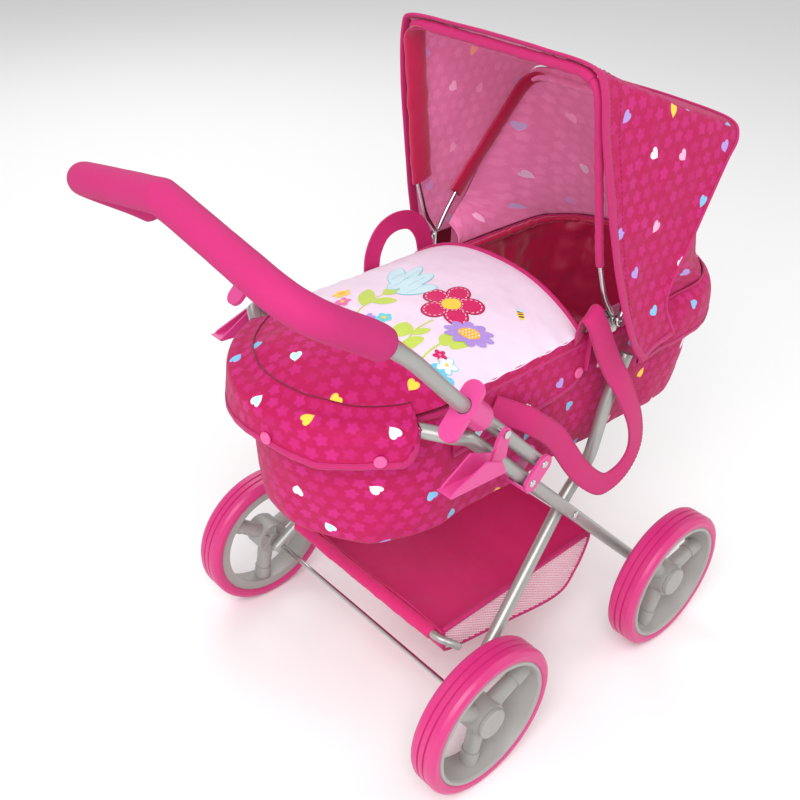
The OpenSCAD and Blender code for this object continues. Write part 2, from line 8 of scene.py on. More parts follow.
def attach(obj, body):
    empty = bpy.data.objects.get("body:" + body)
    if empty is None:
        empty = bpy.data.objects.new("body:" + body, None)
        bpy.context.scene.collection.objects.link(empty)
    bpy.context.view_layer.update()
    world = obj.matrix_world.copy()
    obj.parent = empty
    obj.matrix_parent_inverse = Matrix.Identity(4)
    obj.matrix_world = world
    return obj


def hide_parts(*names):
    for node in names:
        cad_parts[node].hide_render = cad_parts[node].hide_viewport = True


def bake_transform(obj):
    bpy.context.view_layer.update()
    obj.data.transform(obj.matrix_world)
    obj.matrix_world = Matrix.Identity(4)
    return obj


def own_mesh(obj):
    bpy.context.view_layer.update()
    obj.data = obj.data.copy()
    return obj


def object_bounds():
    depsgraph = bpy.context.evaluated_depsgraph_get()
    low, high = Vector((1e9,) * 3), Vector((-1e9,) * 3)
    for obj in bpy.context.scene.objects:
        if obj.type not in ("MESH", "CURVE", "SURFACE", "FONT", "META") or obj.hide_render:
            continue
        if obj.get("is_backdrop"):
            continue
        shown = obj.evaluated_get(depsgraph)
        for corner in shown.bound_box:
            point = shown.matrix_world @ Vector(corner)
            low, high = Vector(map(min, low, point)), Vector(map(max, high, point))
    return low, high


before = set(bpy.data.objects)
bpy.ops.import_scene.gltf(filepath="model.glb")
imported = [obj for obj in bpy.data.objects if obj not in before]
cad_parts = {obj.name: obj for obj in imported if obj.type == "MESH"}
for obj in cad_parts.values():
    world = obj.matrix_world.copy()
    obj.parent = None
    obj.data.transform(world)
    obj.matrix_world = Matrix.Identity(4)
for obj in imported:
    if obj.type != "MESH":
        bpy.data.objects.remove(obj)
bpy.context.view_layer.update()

# Points below are millimetres from the middle of the wheelbase, as in the CAD source:
# X towards the hood end, Y to the left, Z up. FRAME_SHIFT moves them into the row frame.
FRAME_SHIFT = 30.0


def to_frame(points):
    p = np.array(points, float)
    p[..., 0] += FRAME_SHIFT
    return p / 1000


def unit(v):
    v = np.asarray(v, float)
    return v / max(np.linalg.norm(v), 1e-12)


# ---- camera, lights, floor ----

def make_camera():
    azimuth, elevation, roll = (math.radians(a) for a in (-43.355, 33.563, 1.937))
    back = Vector((math.sin(azimuth) * math.cos(elevation),
                   -math.cos(azimuth) * math.cos(elevation), math.sin(elevation)))
    level = Vector((math.cos(azimuth), math.sin(azimuth), 0))
    above = back.cross(level)
    right = math.cos(roll) * level + math.sin(roll) * above
    up = -math.sin(roll) * level + math.cos(roll) * above
    data = bpy.data.cameras.new("camera")
    data.lens, data.sensor_width = 45.585, 36
    data.clip_start, data.clip_end = 0.01, 50
    camera = bpy.data.objects.new("camera", data)
    bpy.context.scene.collection.objects.link(camera)
    place = (-0.56936, -0.53373, 0.79583)
    camera.matrix_world = Matrix((
        (right.x, up.x, back.x, place[0]), (right.y, up.y, back.y, place[1]),
        (right.z, up.z, back.z, place[2]), (0, 0, 0, 1)))
    bpy.context.scene.camera = camera


def area_light(name, place, target, size, power, tint=(1, 1, 1)):
    data = bpy.data.lights.new(name, "AREA")
    data.shape, data.size, data.energy, data.color = "DISK", size, power, tint
    light = bpy.data.objects.new(name, data)
    light.location = place
    light.rotation_mode = "QUATERNION"
    light.rotation_quaternion = (Vector(target) - Vector(place)).to_track_quat("-Z", "Y")
    bpy.context.scene.collection.objects.link(light)


def make_stage():
    size = 6
    mesh = bpy.data.meshes.new("floor")
    mesh.from_pydata([(-size, -size, 0), (size, -size, 0), (size, size, 0), (-size, size, 0)], [],
                     [(0, 1, 2, 3)])
    floor = bpy.data.objects.new("floor", mesh)
    bpy.context.scene.collection.objects.link(floor)
    white = Shade("floor_white", (0.9, 0.9, 0.9), 0.8)
    mesh.materials.append(white.mat)
    floor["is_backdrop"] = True
    world = bpy.data.worlds.new("studio")
    bpy.context.scene.world = world
    world.use_nodes = True
    background = world.node_tree.nodes["Background"]
    background.inputs["Color"].default_value = (1, 1, 1, 1)
    background.inputs["Strength"].default_value = 0.62
    centre = (0.03, 0, 0.3)
    area_light("key", (-1.3, -1.1, 2.1), centre, 1.6, 27)
    area_light("front", (-0.95, -0.45, 1.0), centre, 1.1, 8)
    area_light("fill", (1.5, -1.4, 1.3), centre, 1.8, 12)
    area_light("rim", (0.6, 1.8, 1.6), centre, 1.4, 12)
    bpy.context.scene.view_settings.view_transform = "Standard"


# ---- materials ----

def linear(rgb):
    return tuple((c / 255 / 12.92) if c <= 10 else ((c / 255 + 0.055) / 1.055) ** 2.4 for c in rgb)


class Shade:
    """A material on one Principled shader, with short calls for the nodes that feed it."""

    def __init__(self, name, colour, roughness, metallic=0.0, **sockets):
        self.mat = bpy.data.materials.new(name)
        self.mat.use_nodes = True
        self.nodes = self.mat.node_tree.nodes
        self.bsdf = self.nodes["Principled BSDF"]
        self.set("Base Color", (*colour, 1))
        self.set("Roughness", roughness)
        self.set("Metallic", metallic)
        for key, value in sockets.items():
            self.set(key.replace("_", " "), value)
        self.mat.diffuse_color = (*colour, 1)

    def set(self, socket, value):
        self.bsdf.inputs[socket].default_value = value

    def node(self, kind, *inputs, **settings):
        n = self.nodes.new("ShaderNode" + kind)
        for key, value in settings.items():
            setattr(n, key, value)
        for i, value in enumerate(inputs):
            self.feed(n.inputs[i], value)
        return n

    def feed(self, socket, value):
        if value is None:
            return
        if isinstance(value, bpy.types.NodeSocket):
            self.mat.node_tree.links.new(value, socket)
        else:
            socket.default_value = value

    def math(self, operation, *values, clamp=False):
        return self.node("Math", *values, operation=operation, use_clamp=clamp).outputs[0]

    def mix(self, share, a, b):
        n = self.nodes.new("ShaderNodeMix")
        n.data_type = "RGBA"
        for socket, value in ((n.inputs[0], share), (n.inputs[6], a), (n.inputs[7], b)):
            self.feed(socket, value)
        return n.outputs[2]

    def place(self, kind="Object"):
        return self.nodes.new("ShaderNodeTexCoord").outputs[kind]

    def noise(self, scale, detail=2.0):
        n = self.node("TexNoise", self.place())
        n.inputs["Scale"].default_value = scale
        n.inputs["Detail"].default_value = detail
        return n.outputs[0]

    def bump(self, *layers):
        """layers are (height socket, depth in metres)."""
        total = None
        for height, depth in layers:
            part = self.math("MULTIPLY", height, depth)
            total = part if total is None else self.math("ADD", total, part)
        n = self.nodes.new("ShaderNodeBump")
        n.inputs["Strength"].default_value = 1.0
        n.inputs["Distance"].default_value = 1.0
        self.feed(n.inputs["Height"], total)
        self.feed(self.bsdf.inputs["Normal"], n.outputs[0])

    def colour(self, socket):
        self.feed(self.bsdf.inputs["Base Color"], socket)

    def vary(self, colour, scale, share):
        """The base colour with a slow, slight change of brightness."""
        darker = tuple(c * (1 - share) for c in colour)
        self.colour(self.mix(self.noise(scale, 3), (*colour, 1), (*darker, 1)))


MM = 0.001


def plastic(name, rgb, roughness, grain=0.02):
    c = linear(rgb)
    s = Shade(name, c, roughness)
    s.vary(c, 30, 0.06)
    s.bump((s.noise(2200, 2), grain * MM), (s.noise(60, 2), 0.05 * MM))
    return s.mat


def metal(name, rgb, roughness, metallic=1.0):
    c = linear(rgb)
    s = Shade(name, c, roughness, metallic)
    s.vary(c, 45, 0.08)
    s.bump((s.noise(1500, 2), 0.006 * MM), (s.noise(90, 2), 0.03 * MM))
    return s.mat


def weave(s, pitch=0.7):
    """Crossed threads from the cloth's own flat coordinates, pitch in millimetres."""
    uv = s.node("SeparateXYZ", s.place("UV"))
    waves = [s.math("SINE", s.math("MULTIPLY", uv.outputs[k], 2 * math.pi / (pitch * MM)))
             for k in (0, 1)]
    return s.math("MULTIPLY", waves[0], waves[1]), 0.03 * MM


def cloth(name, rgb, roughness=0.8, sheen=0.25, wrinkle=0.5, thread=0.7, spec=0.3):
    c = linear(rgb)
    s = Shade(name, c, roughness, Sheen_Weight=sheen, Sheen_Roughness=0.4,
              Specular_IOR_Level=spec)
    s.vary(c, 14, 0.10)
    s.bump(weave(s, thread), (s.noise(38, 3), wrinkle * MM), (s.noise(420, 2), 0.04 * MM))
    return s.mat


STAR_CELL = (14.0, 12.0)
HEART_CELL = (54.0, 45.0)
HEART_SIZE = 4.6
HEARTS = ((248, 226, 240), (190, 226, 226), (252, 208, 72), (130, 190, 232), (178, 150, 222),
          (242, 176, 206))


def printed(name, ground_rgb, star_rgb, fade=0.0, fade_and_glow_rgb=(205, 130, 165), shine=0.68, painted_glow=0.0):
    """Star-flowers in staggered rows with a scatter of hearts, drawn in the cloth's flat
    coordinates. painted_glow is painted light: an emission that stands in for the light coming
    through the thin cloth. fade_and_glow_rgb is the faded print's colour and also that glow's colour."""
    def tint(rgb):
        return (*linear([a + (b - a) * fade for a, b in zip(rgb, fade_and_glow_rgb)]), 1)
    s = Shade(name, linear(ground_rgb), shine, Sheen_Weight=0.06, Sheen_Roughness=0.4,
              Specular_IOR_Level=0.25, Emission_Color=(*linear(fade_and_glow_rgb), 1),
              Emission_Strength=painted_glow)
    uv = s.node("SeparateXYZ", s.place("UV"))
    u, v = (s.math("MULTIPLY", uv.outputs[k], 1000.0) for k in (0, 1))

    def cells(across, down):
        row = s.math("FLOOR", s.math("DIVIDE", v, down))
        odd = s.math("MULTIPLY", s.math("FRACT", s.math("MULTIPLY", row, 0.5)), across)
        shifted = s.math("ADD", u, odd)
        column = s.math("FLOOR", s.math("DIVIDE", shifted, across))
        x = s.math("SUBTRACT", shifted, s.math("MULTIPLY", s.math("ADD", column, 0.5), across))
        y = s.math("SUBTRACT", v, s.math("MULTIPLY", s.math("ADD", row, 0.5), down))
        cell = s.node("CombineXYZ", column, row)
        random = s.node("TexWhiteNoise", cell.outputs[0], noise_dimensions="3D")
        colour = s.node("SeparateColor", random.outputs["Color"])
        return x, y, random.outputs["Value"], colour.outputs

    x, y, value, rand = cells(*STAR_CELL)
    x = s.math("ADD", x, s.math("MULTIPLY_ADD", rand[0], 3.2, -1.6))
    y = s.math("ADD", y, s.math("MULTIPLY_ADD", rand[1], 3.0, -1.5))
    radius = s.math("SQRT", s.math("ADD", s.math("MULTIPLY", x, x), s.math("MULTIPLY", y, y)))
    turn = s.math("MULTIPLY_ADD", value, 6.28, s.math("ARCTAN2", y, x))
    petals = s.math("COSINE", s.math("MULTIPLY", turn, 5.0))
    edge = s.math("MULTIPLY_ADD", petals, 0.9, 4.5)
    star = s.math("MULTIPLY_ADD", s.math("SUBTRACT", edge, radius), 0.6, 0.5, clamp=True)
    strength = s.math("MULTIPLY", star, s.math("MULTIPLY_ADD", rand[2], 0.45, 0.25))
    base = s.mix(strength, tint(ground_rgb), tint(star_rgb))

    x, y, value, rand = cells(*HEART_CELL)
    x = s.math("ADD", x, s.math("MULTIPLY_ADD", rand[0], 22.0, -11.0))
    y = s.math("ADD", y, s.math("MULTIPLY_ADD", rand[1], 18.0, -9.0))
    turn = s.math("MULTIPLY_ADD", rand[2], 1.8, -0.9)
    c, d = s.math("COSINE", turn), s.math("SINE", turn)
    p = s.math("SUBTRACT", s.math("MULTIPLY", x, c), s.math("MULTIPLY", y, d))
    q = s.math("ADD", s.math("MULTIPLY", x, d), s.math("MULTIPLY", y, c))
    p, q = (s.math("DIVIDE", a, HEART_SIZE) for a in (p, q))
    lobe = s.math("SUBTRACT", q, s.math("MULTIPLY", s.math("SQRT", s.math("ABSOLUTE", p)), 0.72))
    shape = s.math("SQRT", s.math("ADD", s.math("MULTIPLY", p, p), s.math("MULTIPLY", lobe, lobe)))
    outer = s.math("MULTIPLY_ADD", shape, -9.0, 9.5, clamp=True)
    inner = s.math("MULTIPLY_ADD", shape, -9.0, 8.5, clamp=True)
    ramp = s.nodes.new("ShaderNodeValToRGB")
    ramp.color_ramp.interpolation = "CONSTANT"
    for k, rgb in enumerate(HEARTS):
        stop = ramp.color_ramp.elements[k] if k < 2 else ramp.color_ramp.elements.new(k / len(HEARTS))
        stop.position, stop.color = k / len(HEARTS), tint(rgb)
    s.feed(ramp.inputs[0], value)
    pale = s.math("LESS_THAN", value, 0.34)
    rim = s.mix(pale, ramp.outputs[0], tint((255, 250, 253)))
    s.colour(s.mix(inner, s.mix(outer, base, rim), ramp.outputs[0]))
    s.bump(weave(s), (s.noise(34, 3), 0.7 * MM), (s.noise(420, 2), 0.04 * MM))
    return s.mat


print_out = printed("print_outside", (176, 8, 80), (200, 36, 128))
# print_inside: the faded print of the hood's inner face, plus painted light, an emission glow standing in
# for light through the thin cloth
print_in = printed("print_inside", (200, 88, 142), (226, 132, 180), fade=0.4,
                   fade_and_glow_rgb=(226, 140, 180), shine=0.8, painted_glow=0.2)
binding = cloth("binding_pink", (188, 36, 104), 0.75, sheen=0.12, wrinkle=0.15)
webbing = cloth("webbing_pink", (196, 36, 108), 0.72, sheen=0.12, wrinkle=0.2, thread=1.6)
basket_cloth = cloth("basket_pink", (206, 36, 108), 0.68, sheen=0.1, wrinkle=1.1)
satin = cloth("lining_satin", (186, 14, 72), 0.42, sheen=0.5, wrinkle=1.4, spec=0.55)
pale_panel = cloth("panel_lilac", (233, 214, 232), 0.78, wrinkle=0.35)
sheet_cloth = cloth("mattress_lilac", (214, 190, 210), 0.85, wrinkle=0.5)
net_thread = cloth("net_thread", (250, 216, 228), 0.7, wrinkle=0.0)
dark_thread = cloth("sewing_thread_dark", (150, 26, 78), 0.6, wrinkle=0.0)
# painted shadow: a dark colour laid along seams where shade falls
seam_shadow_cloth = cloth("seam_shadow", (120, 10, 46), 0.8, wrinkle=0.0)
tube_paint = metal("tube_silver_paint", (168, 168, 165), 0.36, 0.55)
steel = metal("plated_steel", (205, 205, 205), 0.22)
pink_plastic = plastic("moulded_pink", (214, 66, 140), 0.36)
tyre_plastic = plastic("tyre_pink", (204, 46, 120), 0.36, grain=0.03)
grey_plastic = plastic("wheel_grey", (160, 157, 154), 0.38)
snap_plastic = plastic("snap_pink", (222, 84, 148), 0.32)
foam = plastic("foam_pink", (184, 28, 104), 0.85, grain=0.12)
board = plastic("board_grey", (206, 198, 204), 0.7)

make_camera()
make_stage()


# ---- mesh helpers ----

def corner(a, b, c, reach, steps):
    a, b, c = (np.asarray(p, float) for p in (a, b, c))
    p, q = b + unit(a - b) * reach, b + unit(c - b) * reach
    return [(1 - t) ** 2 * p + 2 * t * (1 - t) * b + t * t * q for t in np.linspace(0, 1, steps + 1)]


def rounded(path, reach, steps=10):
    out = [np.array(path[0], float)]
    for i in range(1, len(path) - 1):
        out += corner(path[i - 1], path[i], path[i + 1], reach[i - 1], steps)
    return out + [np.array(path[-1], float)]


def mirrored(path):
    return [np.array((p[0], -p[1], p[2]), float) for p in path]


def across(half):
    """A half path on the left (+Y) carried on over the middle to the right."""
    half = [np.array(p, float) for p in half]
    other = mirrored(half)[::-1]
    return half + (other[1:] if abs(half[-1][1]) < 1e-6 else other)


def length_along(line):
    return np.concatenate([[0], np.cumsum(np.linalg.norm(np.diff(line, axis=0), axis=1))])


def resampled(line, step=None, count=None):
    line = np.array(line, float)
    along = length_along(line)
    n = count or max(2, int(round(along[-1] / step)) + 1)
    at = np.linspace(0, along[-1], n)
    return np.stack([np.interp(at, along, line[:, k]) for k in range(line.shape[1])], axis=1)


def smooth_line(points, per=10):
    """Catmull-Rom curve through points, `per` samples to a span."""
    p = np.array(points, float)
    ext = np.vstack([2 * p[0] - p[1], p, 2 * p[-1] - p[-2]])
    t = (np.arange(per) / per)[:, None]
    out = []
    for i in range(1, len(ext) - 2):
        a, b, c, d = ext[i - 1:i + 3]
        out.append(0.5 * (2 * b + (c - a) * t + (2 * a - 5 * b + 4 * c - d) * t ** 2
                          + (3 * b - a - 3 * c + d) * t ** 3))
    return np.vstack(out + [ext[-2][None]])


def link(name, points, faces, uvs, materials):
    """A new smooth mesh object. uvs holds one (u, v) for each corner of each face, in metres."""
    mesh = bpy.data.meshes.new(name)
    mesh.from_pydata(to_frame(points).tolist(), [], faces)
    mesh.polygons.foreach_set("use_smooth", [True] * len(mesh.polygons))
    for m in (materials if isinstance(materials, list) else [materials]):
        mesh.materials.append(m)
    mesh.uv_layers.new(name="flat").data.foreach_set("uv", np.array(uvs, float).ravel())
    mesh.update()
    o = bpy.data.objects.new(name, mesh)
    bpy.context.scene.collection.objects.link(o)
    return o


def grid_piece(name, grid, materials, thick=0.0, wrap=False, uv=None, regions=None, flip=False,
               middle=None):
    """A sheet from rows of points. uv(rows, columns) grids are millimetres; regions gives other uv
    grids for spans of columns. thick is the cloth's thickness, laid inside the faces. With a
    middle point, the faces look away from it."""
    g = np.array(grid, float)
    if middle is not None:
        along, down = g[:-1, 1:] - g[:-1, :-1], g[1:, :-1] - g[:-1, :-1]
        away = g[:-1, :-1] - np.array(middle, float)
        flip = (np.cross(along, down) * away).sum() < 0
    rows, cols = g.shape[:2]
    last = cols if wrap else cols - 1
    if uv is None:
        step_c = np.linalg.norm(np.diff(g, axis=1), axis=2)
        if wrap:
            step_c = np.concatenate([step_c, np.linalg.norm(g[:, :1] - g[:, -1:], axis=2)], axis=1)
        u = np.concatenate([[0], np.cumsum(step_c.mean(axis=0))])
        v = np.concatenate([[0], np.cumsum(np.linalg.norm(np.diff(g, axis=0), axis=2).mean(axis=1))])
        uv = np.stack(np.meshgrid(u, v), axis=2)
    faces, uvs = [], []
    for i in range(rows - 1):
        for j in range(last):
            k = (j + 1) % cols
            quad = [(i, j, j), (i, k, j + 1), (i + 1, k, j + 1), (i + 1, j, j)]
            if flip:
                quad = quad[::-1]
            faces.append([a * cols + b for a, b, _ in quad])
            chart = uv
            for low, high, other in regions or ():
                if low <= j < high:
                    chart = other
            uvs += [chart[a][c] / 1000 for a, _, c in quad]
    o = link(name, g.reshape(-1, 3), faces, uvs, materials)
    if thick:
        mod = o.modifiers.new("thickness", "SOLIDIFY")
        mod.thickness, mod.offset = thick * MM, -1
        mod.use_even_offset = False
        if isinstance(materials, list):
            mod.material_offset = 1
            mod.material_offset_rim = 0
    return o


def frames(line, ref):
    """Two directions across a line at each point, carried along it without twisting."""
    tangents = np.gradient(line, axis=0)
    tangents /= np.linalg.norm(tangents, axis=1)[:, None]
    side = unit(np.cross(ref, tangents[0]))
    sides, ups = [], []
    for t in tangents:
        side = unit(side - t * side.dot(t))
        sides.append(side)
        ups.append(np.cross(t, side))
    return tangents, np.array(sides), np.array(ups)


def tube_mesh(line, radius, sides=20, hollow=0.0):
    """Points, faces and uvs of a tube. radius is a number or one for each point; a hollow tube has
    walls of that thickness at its open ends."""
    line = np.array(line, float)
    tangents, s, u = frames(line, (0.3, 0.2, 0.9))
    radii = np.broadcast_to(np.asarray(radius, float), (len(line),))
    rings = [(p, a, b, r) for p, a, b, r in zip(line, s, u, radii)]
    soft = min(0.8, radii[0] * 0.25)
    depth = 14.0
    first, last = rings[0], rings[-1]
    t0, t1 = tangents[0], tangents[-1]

    def end(ring, t, sign):
        p, a, b, r = ring
        if not hollow:
            return [(p, a, b, r - soft), (p, a, b, max(r * 0.02, 0.01))]
        inner = p - sign * t * depth
        return [(p, a, b, r - hollow * 0.3), (p, a, b, r - hollow), (inner, a, b, r - hollow),
                (inner, a, b, 0.02)]

    head = [(first[0] + t0 * soft, first[1], first[2], first[3])]
    tail = [(last[0] - t1 * soft, last[1], last[2], last[3])]
    everything = end(first, t0, -1)[::-1] + head + rings[1:-1] + tail + end(last, t1, 1)
    angle = np.linspace(0, 2 * math.pi, sides, endpoint=False)
    points, us = [], [0.0]
    previous = everything[0][0]
    for p, a, b, r in everything:
        us.append(us[-1] + float(np.linalg.norm(p - previous)))
        previous = p
        points += [p + r * (math.cos(k) * a + math.sin(k) * b) for k in angle]
    faces, uvs = [], []
    width = 2 * math.pi * radii.max()
    n = len(everything)
    for i in range(n - 1):
        for j in range(sides):
            k = (j + 1) % sides
            faces.append([i * sides + j, i * sides + k, (i + 1) * sides + k, (i + 1) * sides + j])
            a, b = us[i + 1] / 1000, us[i + 2] / 1000
            c, d = width * j / sides / 1000, width * (j + 1) / sides / 1000
            uvs += [(a, c), (a, d), (b, d), (b, c)]
    return np.array(points), faces, uvs


def tube(name, line, radius, material, **options):
    return link(name, *tube_mesh(line, radius, **options), material)


def joined(name, parts, material):
    """One object from several (points, faces, uvs) meshes."""
    points, faces, uvs, base = [], [], [], 0
    for p, f, w in parts:
        points.append(p)
        faces += [[base + i for i in face] for face in f]
        uvs += list(w)
        base += len(p)
    return link(name, np.vstack(points), faces, uvs, material)


def stitch_parts(line, pitch=4.2, long=2.8, thick=0.55):
    """Small rounded threads end to end along a line."""
    line = resampled(line, pitch / 4)
    along = length_along(line)
    parts = []
    for k in range(int(along[-1] / pitch)):
        ends = [np.array([np.interp(k * pitch + d, along, line[:, c]) for c in range(3)])
                for d in (0.3, long * 0.5, long)]
        parts.append(tube_mesh(np.array(ends), [thick * 0.35, thick * 0.5, thick * 0.35], sides=6))
    return parts


def stitches(name, lines, material, **options):
    return joined(name, [p for line in lines for p in stitch_parts(line, **options)], material)


def lathe_mesh(profile, centre, axis, sides=40):
    """A turned shape: profile is (radius, height) pairs along axis from centre."""
    axis = unit(axis)
    ref = np.array((0.0, 0, 1)) if abs(axis[2]) < 0.9 else np.array((1.0, 0, 0))
    a = unit(np.cross(ref, axis))
    b = np.cross(axis, a)
    angle = np.linspace(0, 2 * math.pi, sides, endpoint=False)
    points = [np.asarray(centre, float) + h * axis + max(r, 0.01) * (math.cos(k) * a + math.sin(k) * b)
              for r, h in profile for k in angle]
    faces = []
    for i in range(len(profile) - 1):
        for j in range(sides):
            k = (j + 1) % sides
            faces.append([i * sides + j, i * sides + k, (i + 1) * sides + k, (i + 1) * sides + j])
    uvs = [(0.001 * points[i][0], 0.001 * points[i][2]) for f in faces for i in f]
    return np.array(points), faces, uvs


def fractal(p, scale, seed=0.0):
    return noise.fractal(Vector((p[0] / scale + seed, p[1] / scale - seed, p[2] / scale + 2 * seed)),
                         1.0, 2.0, 3)


def rumple(grid, amount, scale, seed, share=None):
    """Moves a grid of points along its own normals by smooth noise. share scales it at each point."""
    g = np.array(grid, float)
    du = np.gradient(g, axis=1)
    dv = np.gradient(g, axis=0)
    n = np.cross(du, dv)
    n /= np.maximum(np.linalg.norm(n, axis=2), 1e-9)[..., None]
    for i in range(g.shape[0]):
        for j in range(g.shape[1]):
            k = amount * fractal(g[i, j], scale, seed=seed)
            if share is not None:
                k *= share[i, j]
            n[i, j] *= k
    return g + n


def paint(node, material, bevel=0.0):
    """Gives a CAD node its finish, and softens its edges without changing its mesh."""
    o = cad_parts[node]
    o.data.materials.clear()
    o.data.materials.append(material)
    for p in o.data.polygons:
        p.use_smooth = True
    if bevel:
        m = o.modifiers.new("soft_edges", "BEVEL")
        m.width, m.segments, m.limit_method, m.angle_limit = bevel * MM, 2, "ANGLE", math.radians(35)
        m.harden_normals = False
    split = o.modifiers.new("flat_faces", "EDGE_SPLIT")
    split.split_angle = math.radians(38)


def put(o, body, nodes=()):
    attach(o, body)
    if nodes:
        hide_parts(*nodes)
    return o


# ---- the CAD's own lines ----

AXLE_X, AXLE_Z, RIM_Z, COT_FLOOR = 135.0, 75.0, 366.0, 240.0
leg_foot, leg_top = np.array((135, 113.5, 75.0)), np.array((-150, 129.5, 366.0))
leg_along = unit((leg_top[0] - leg_foot[0], 0, leg_top[2] - leg_foot[2]))
leg_up = np.array((leg_along[2], 0, -leg_along[0]))
pivot = leg_foot + (203 - AXLE_Z) / (RIM_Z - AXLE_Z) * (leg_top - leg_foot)
hood_leg_y = pivot[1] - 13
handle_offset = 18.5
link_point = leg_foot + 0.7263 * (leg_top - leg_foot)
handle_pivot = link_point + handle_offset * leg_up
catch_pivot = leg_foot + 0.9351 * (leg_top - leg_foot) + handle_offset * leg_up
HINGE = np.array((50.0, 0, 384.0))
FOOT_X, HALF, HEAD_R, HEAD_X = -131.0, 100.0, 70.0, 172.0
HEAD_SIDE = HALF - HEAD_R
TUBE, TUBE_WALL = 6.0, 1.2


def outline(count):
    """Points, outward directions and lengths along the carrycot's outline in plan, seen from above."""
    pts, outs = [], []

    def arc(cx, cy, r, a0, a1, n):
        for a in np.radians(np.linspace(a0, a1, n)):
            outs.append((math.cos(a), math.sin(a)))
            pts.append((cx + r * math.cos(a), cy + r * math.sin(a)))
    arc(HEAD_X, HEAD_SIDE, HEAD_R, 0, 90, 60)
    arc(FOOT_X, 0, HALF, 90, 270, 140)
    arc(HEAD_X, -HEAD_SIDE, HEAD_R, 270, 360, 60)
    pts, outs = np.array(pts + [pts[0]]), np.array(outs + [outs[0]])
    along = length_along(pts)
    at = np.linspace(0, along[-1], count, endpoint=False)
    p = np.stack([np.interp(at, along, pts[:, k]) for k in (0, 1)], axis=1)
    o = np.stack([np.interp(at, along, outs[:, k]) for k in (0, 1)], axis=1)
    return p, o / np.linalg.norm(o, axis=1)[:, None], at


def loop_at(grow, z, count=360):
    """The outline, grown by `grow` (a number or one a point) at height z."""
    p, o, _ = outline(count)
    grow = np.broadcast_to(grow, (count,))
    z = np.broadcast_to(z, (count,))
    return np.column_stack([p + o * grow[:, None], z])


# ---- chassis ----

leg_end = leg_foot - 8 * unit(leg_top - leg_foot)
bow_arc = [np.array((FOOT_X + 108 * math.cos(a), 108 * math.sin(a), RIM_Z))
           for a in np.radians(np.arange(112, 180.1, 3.4))]
push_half = ([leg_end, leg_foot] + corner(leg_foot, leg_top, (-163, 122, RIM_Z + 1), 9, 8) + bow_arc)
push_line = resampled(across(push_half), 4.0)
put(tube("push_frame_tube", push_line, TUBE, tube_paint, hollow=TUBE_WALL, sides=24), "chassis",
    ["push_frame"])

rear_point = np.array((-AXLE_X, 135, AXLE_Z))
leg_line = rounded([
    rear_point - 8 * unit(np.array((pivot[0], hood_leg_y, pivot[2])) - rear_point),
    (pivot[0] + 8, hood_leg_y - 1, pivot[2] + 7), (44, hood_leg_y + 0.6, 240),
    (57, hood_leg_y + 0.6, 300), (76, hood_leg_y + 0.6, 341)], [14, 14, 14], 8)
for hand, line in (("left", leg_line), ("right", mirrored(leg_line))):
    put(tube(f"hood_leg_tube_{hand}", resampled(line, 5.0), TUBE, tube_paint, hollow=TUBE_WALL, sides=24),
        "hood_legs", [f"hood_leg_{hand}"])

bar_line = smooth_line(across([(-126, 121, 122), (-133, 112, 126), (-138, 100, 128), (-139, 60, 128),
                               (-139, 0, 128)]), 8)
put(tube("basket_rail", bar_line, 3.6, tube_paint, sides=16), "hood_legs",
    ["basket_bar"])
hem_path = resampled(bar_line[np.abs(bar_line[:, 1]) < 98], 2.5) + np.array((0.7, 0, -0.3))
hem_girth = np.array([6.1 + 1.0 * fractal(p, 16, seed=33.0) for p in hem_path])
put(tube("basket_front_hem", hem_path, hem_girth, basket_cloth, sides=18), "hood_legs")

for node in ("front_axle", "rear_axle"):
    paint(node, steel, 0.4)
paint("hood_hinges", steel, 0.5)
paint("rim_wire", steel)
paint("base_board", board, 0.5)
for hand in ("right", "left"):
    for node, bevel in (("link_bracket", 0.7), ("sleeve", 0.9), ("catch", 0.6)):
        paint(f"{node}_{hand}", pink_plastic, bevel)
paint("axle_spacers", grey_plastic, 0.5)
paint("catch_rivets", steel, 0.3)


def rivet_parts(point, length, radius, head):
    """A round rivet across the stroller, with a domed head at each end."""
    parts = []
    for hand in (-1, 1):
        centre = np.array((point[0], hand * point[1], point[2]), float)
        for face in (-1, 1):
            base = centre + np.array((0, face * length / 2, 0))
            dome = [(radius, -length / 2), (radius, 0), (head, 0), (head, 0.35),
                    (head * 0.86, 0.85), (head * 0.5, 1.12), (0, 1.2)]
            parts.append(lathe_mesh(dome, base, (0, face, 0), 24))
    return parts


leg_rivets = joined("leg_rivet_set", rivet_parts(link_point, 21.2, 2, 3.6)
                    + rivet_parts(handle_pivot, 21.2, 2, 3.6)
                    + rivet_parts(pivot - np.array((0, 6.5, 0)), 26, 2.5, 3.8), steel)
put(leg_rivets, "chassis", ["leg_rivets"])

# ---- handle ----

grip_below, grip_bend = (-214, 134.5, 459), (-246, 135, 486)
handle_half = ([handle_pivot + 7 * unit(handle_pivot - catch_pivot), handle_pivot, catch_pivot]
               + rounded([(-138, 130, 378.6), (-162, 131.5, 402), grip_below, grip_bend,
                          (-301, 133, 522), (-303, 40, 540.9), (-304, 0, 549)],
                         [8, 14, 12, 32, 20], 8))
handle_line = resampled(across(handle_half), 4.0)
put(tube("handle_bar", handle_line, TUBE, tube_paint, hollow=TUBE_WALL, sides=24), "handle",
    ["handle_tube"])

grip_start = np.array(grip_bend, float) + 12 * unit(np.subtract(grip_below, grip_bend))
first = min(range(len(handle_half)), key=lambda i: np.linalg.norm(handle_half[i] - grip_start))
grip_line = resampled(across(handle_half[first:]), 3.0)
ends = np.minimum(np.arange(len(grip_line)), np.arange(len(grip_line))[::-1]) * 3.0
swell = 12.0 - 1.6 * np.exp(-ends / 1.6)
for i, p in enumerate(grip_line):
    swell[i] += 0.18 * fractal(p, 26, seed=3.0)
grip = tube("foam_grip", grip_line, swell, foam, sides=32)
put(grip, "handle", ["handle_grip"])

# ---- wheels ----

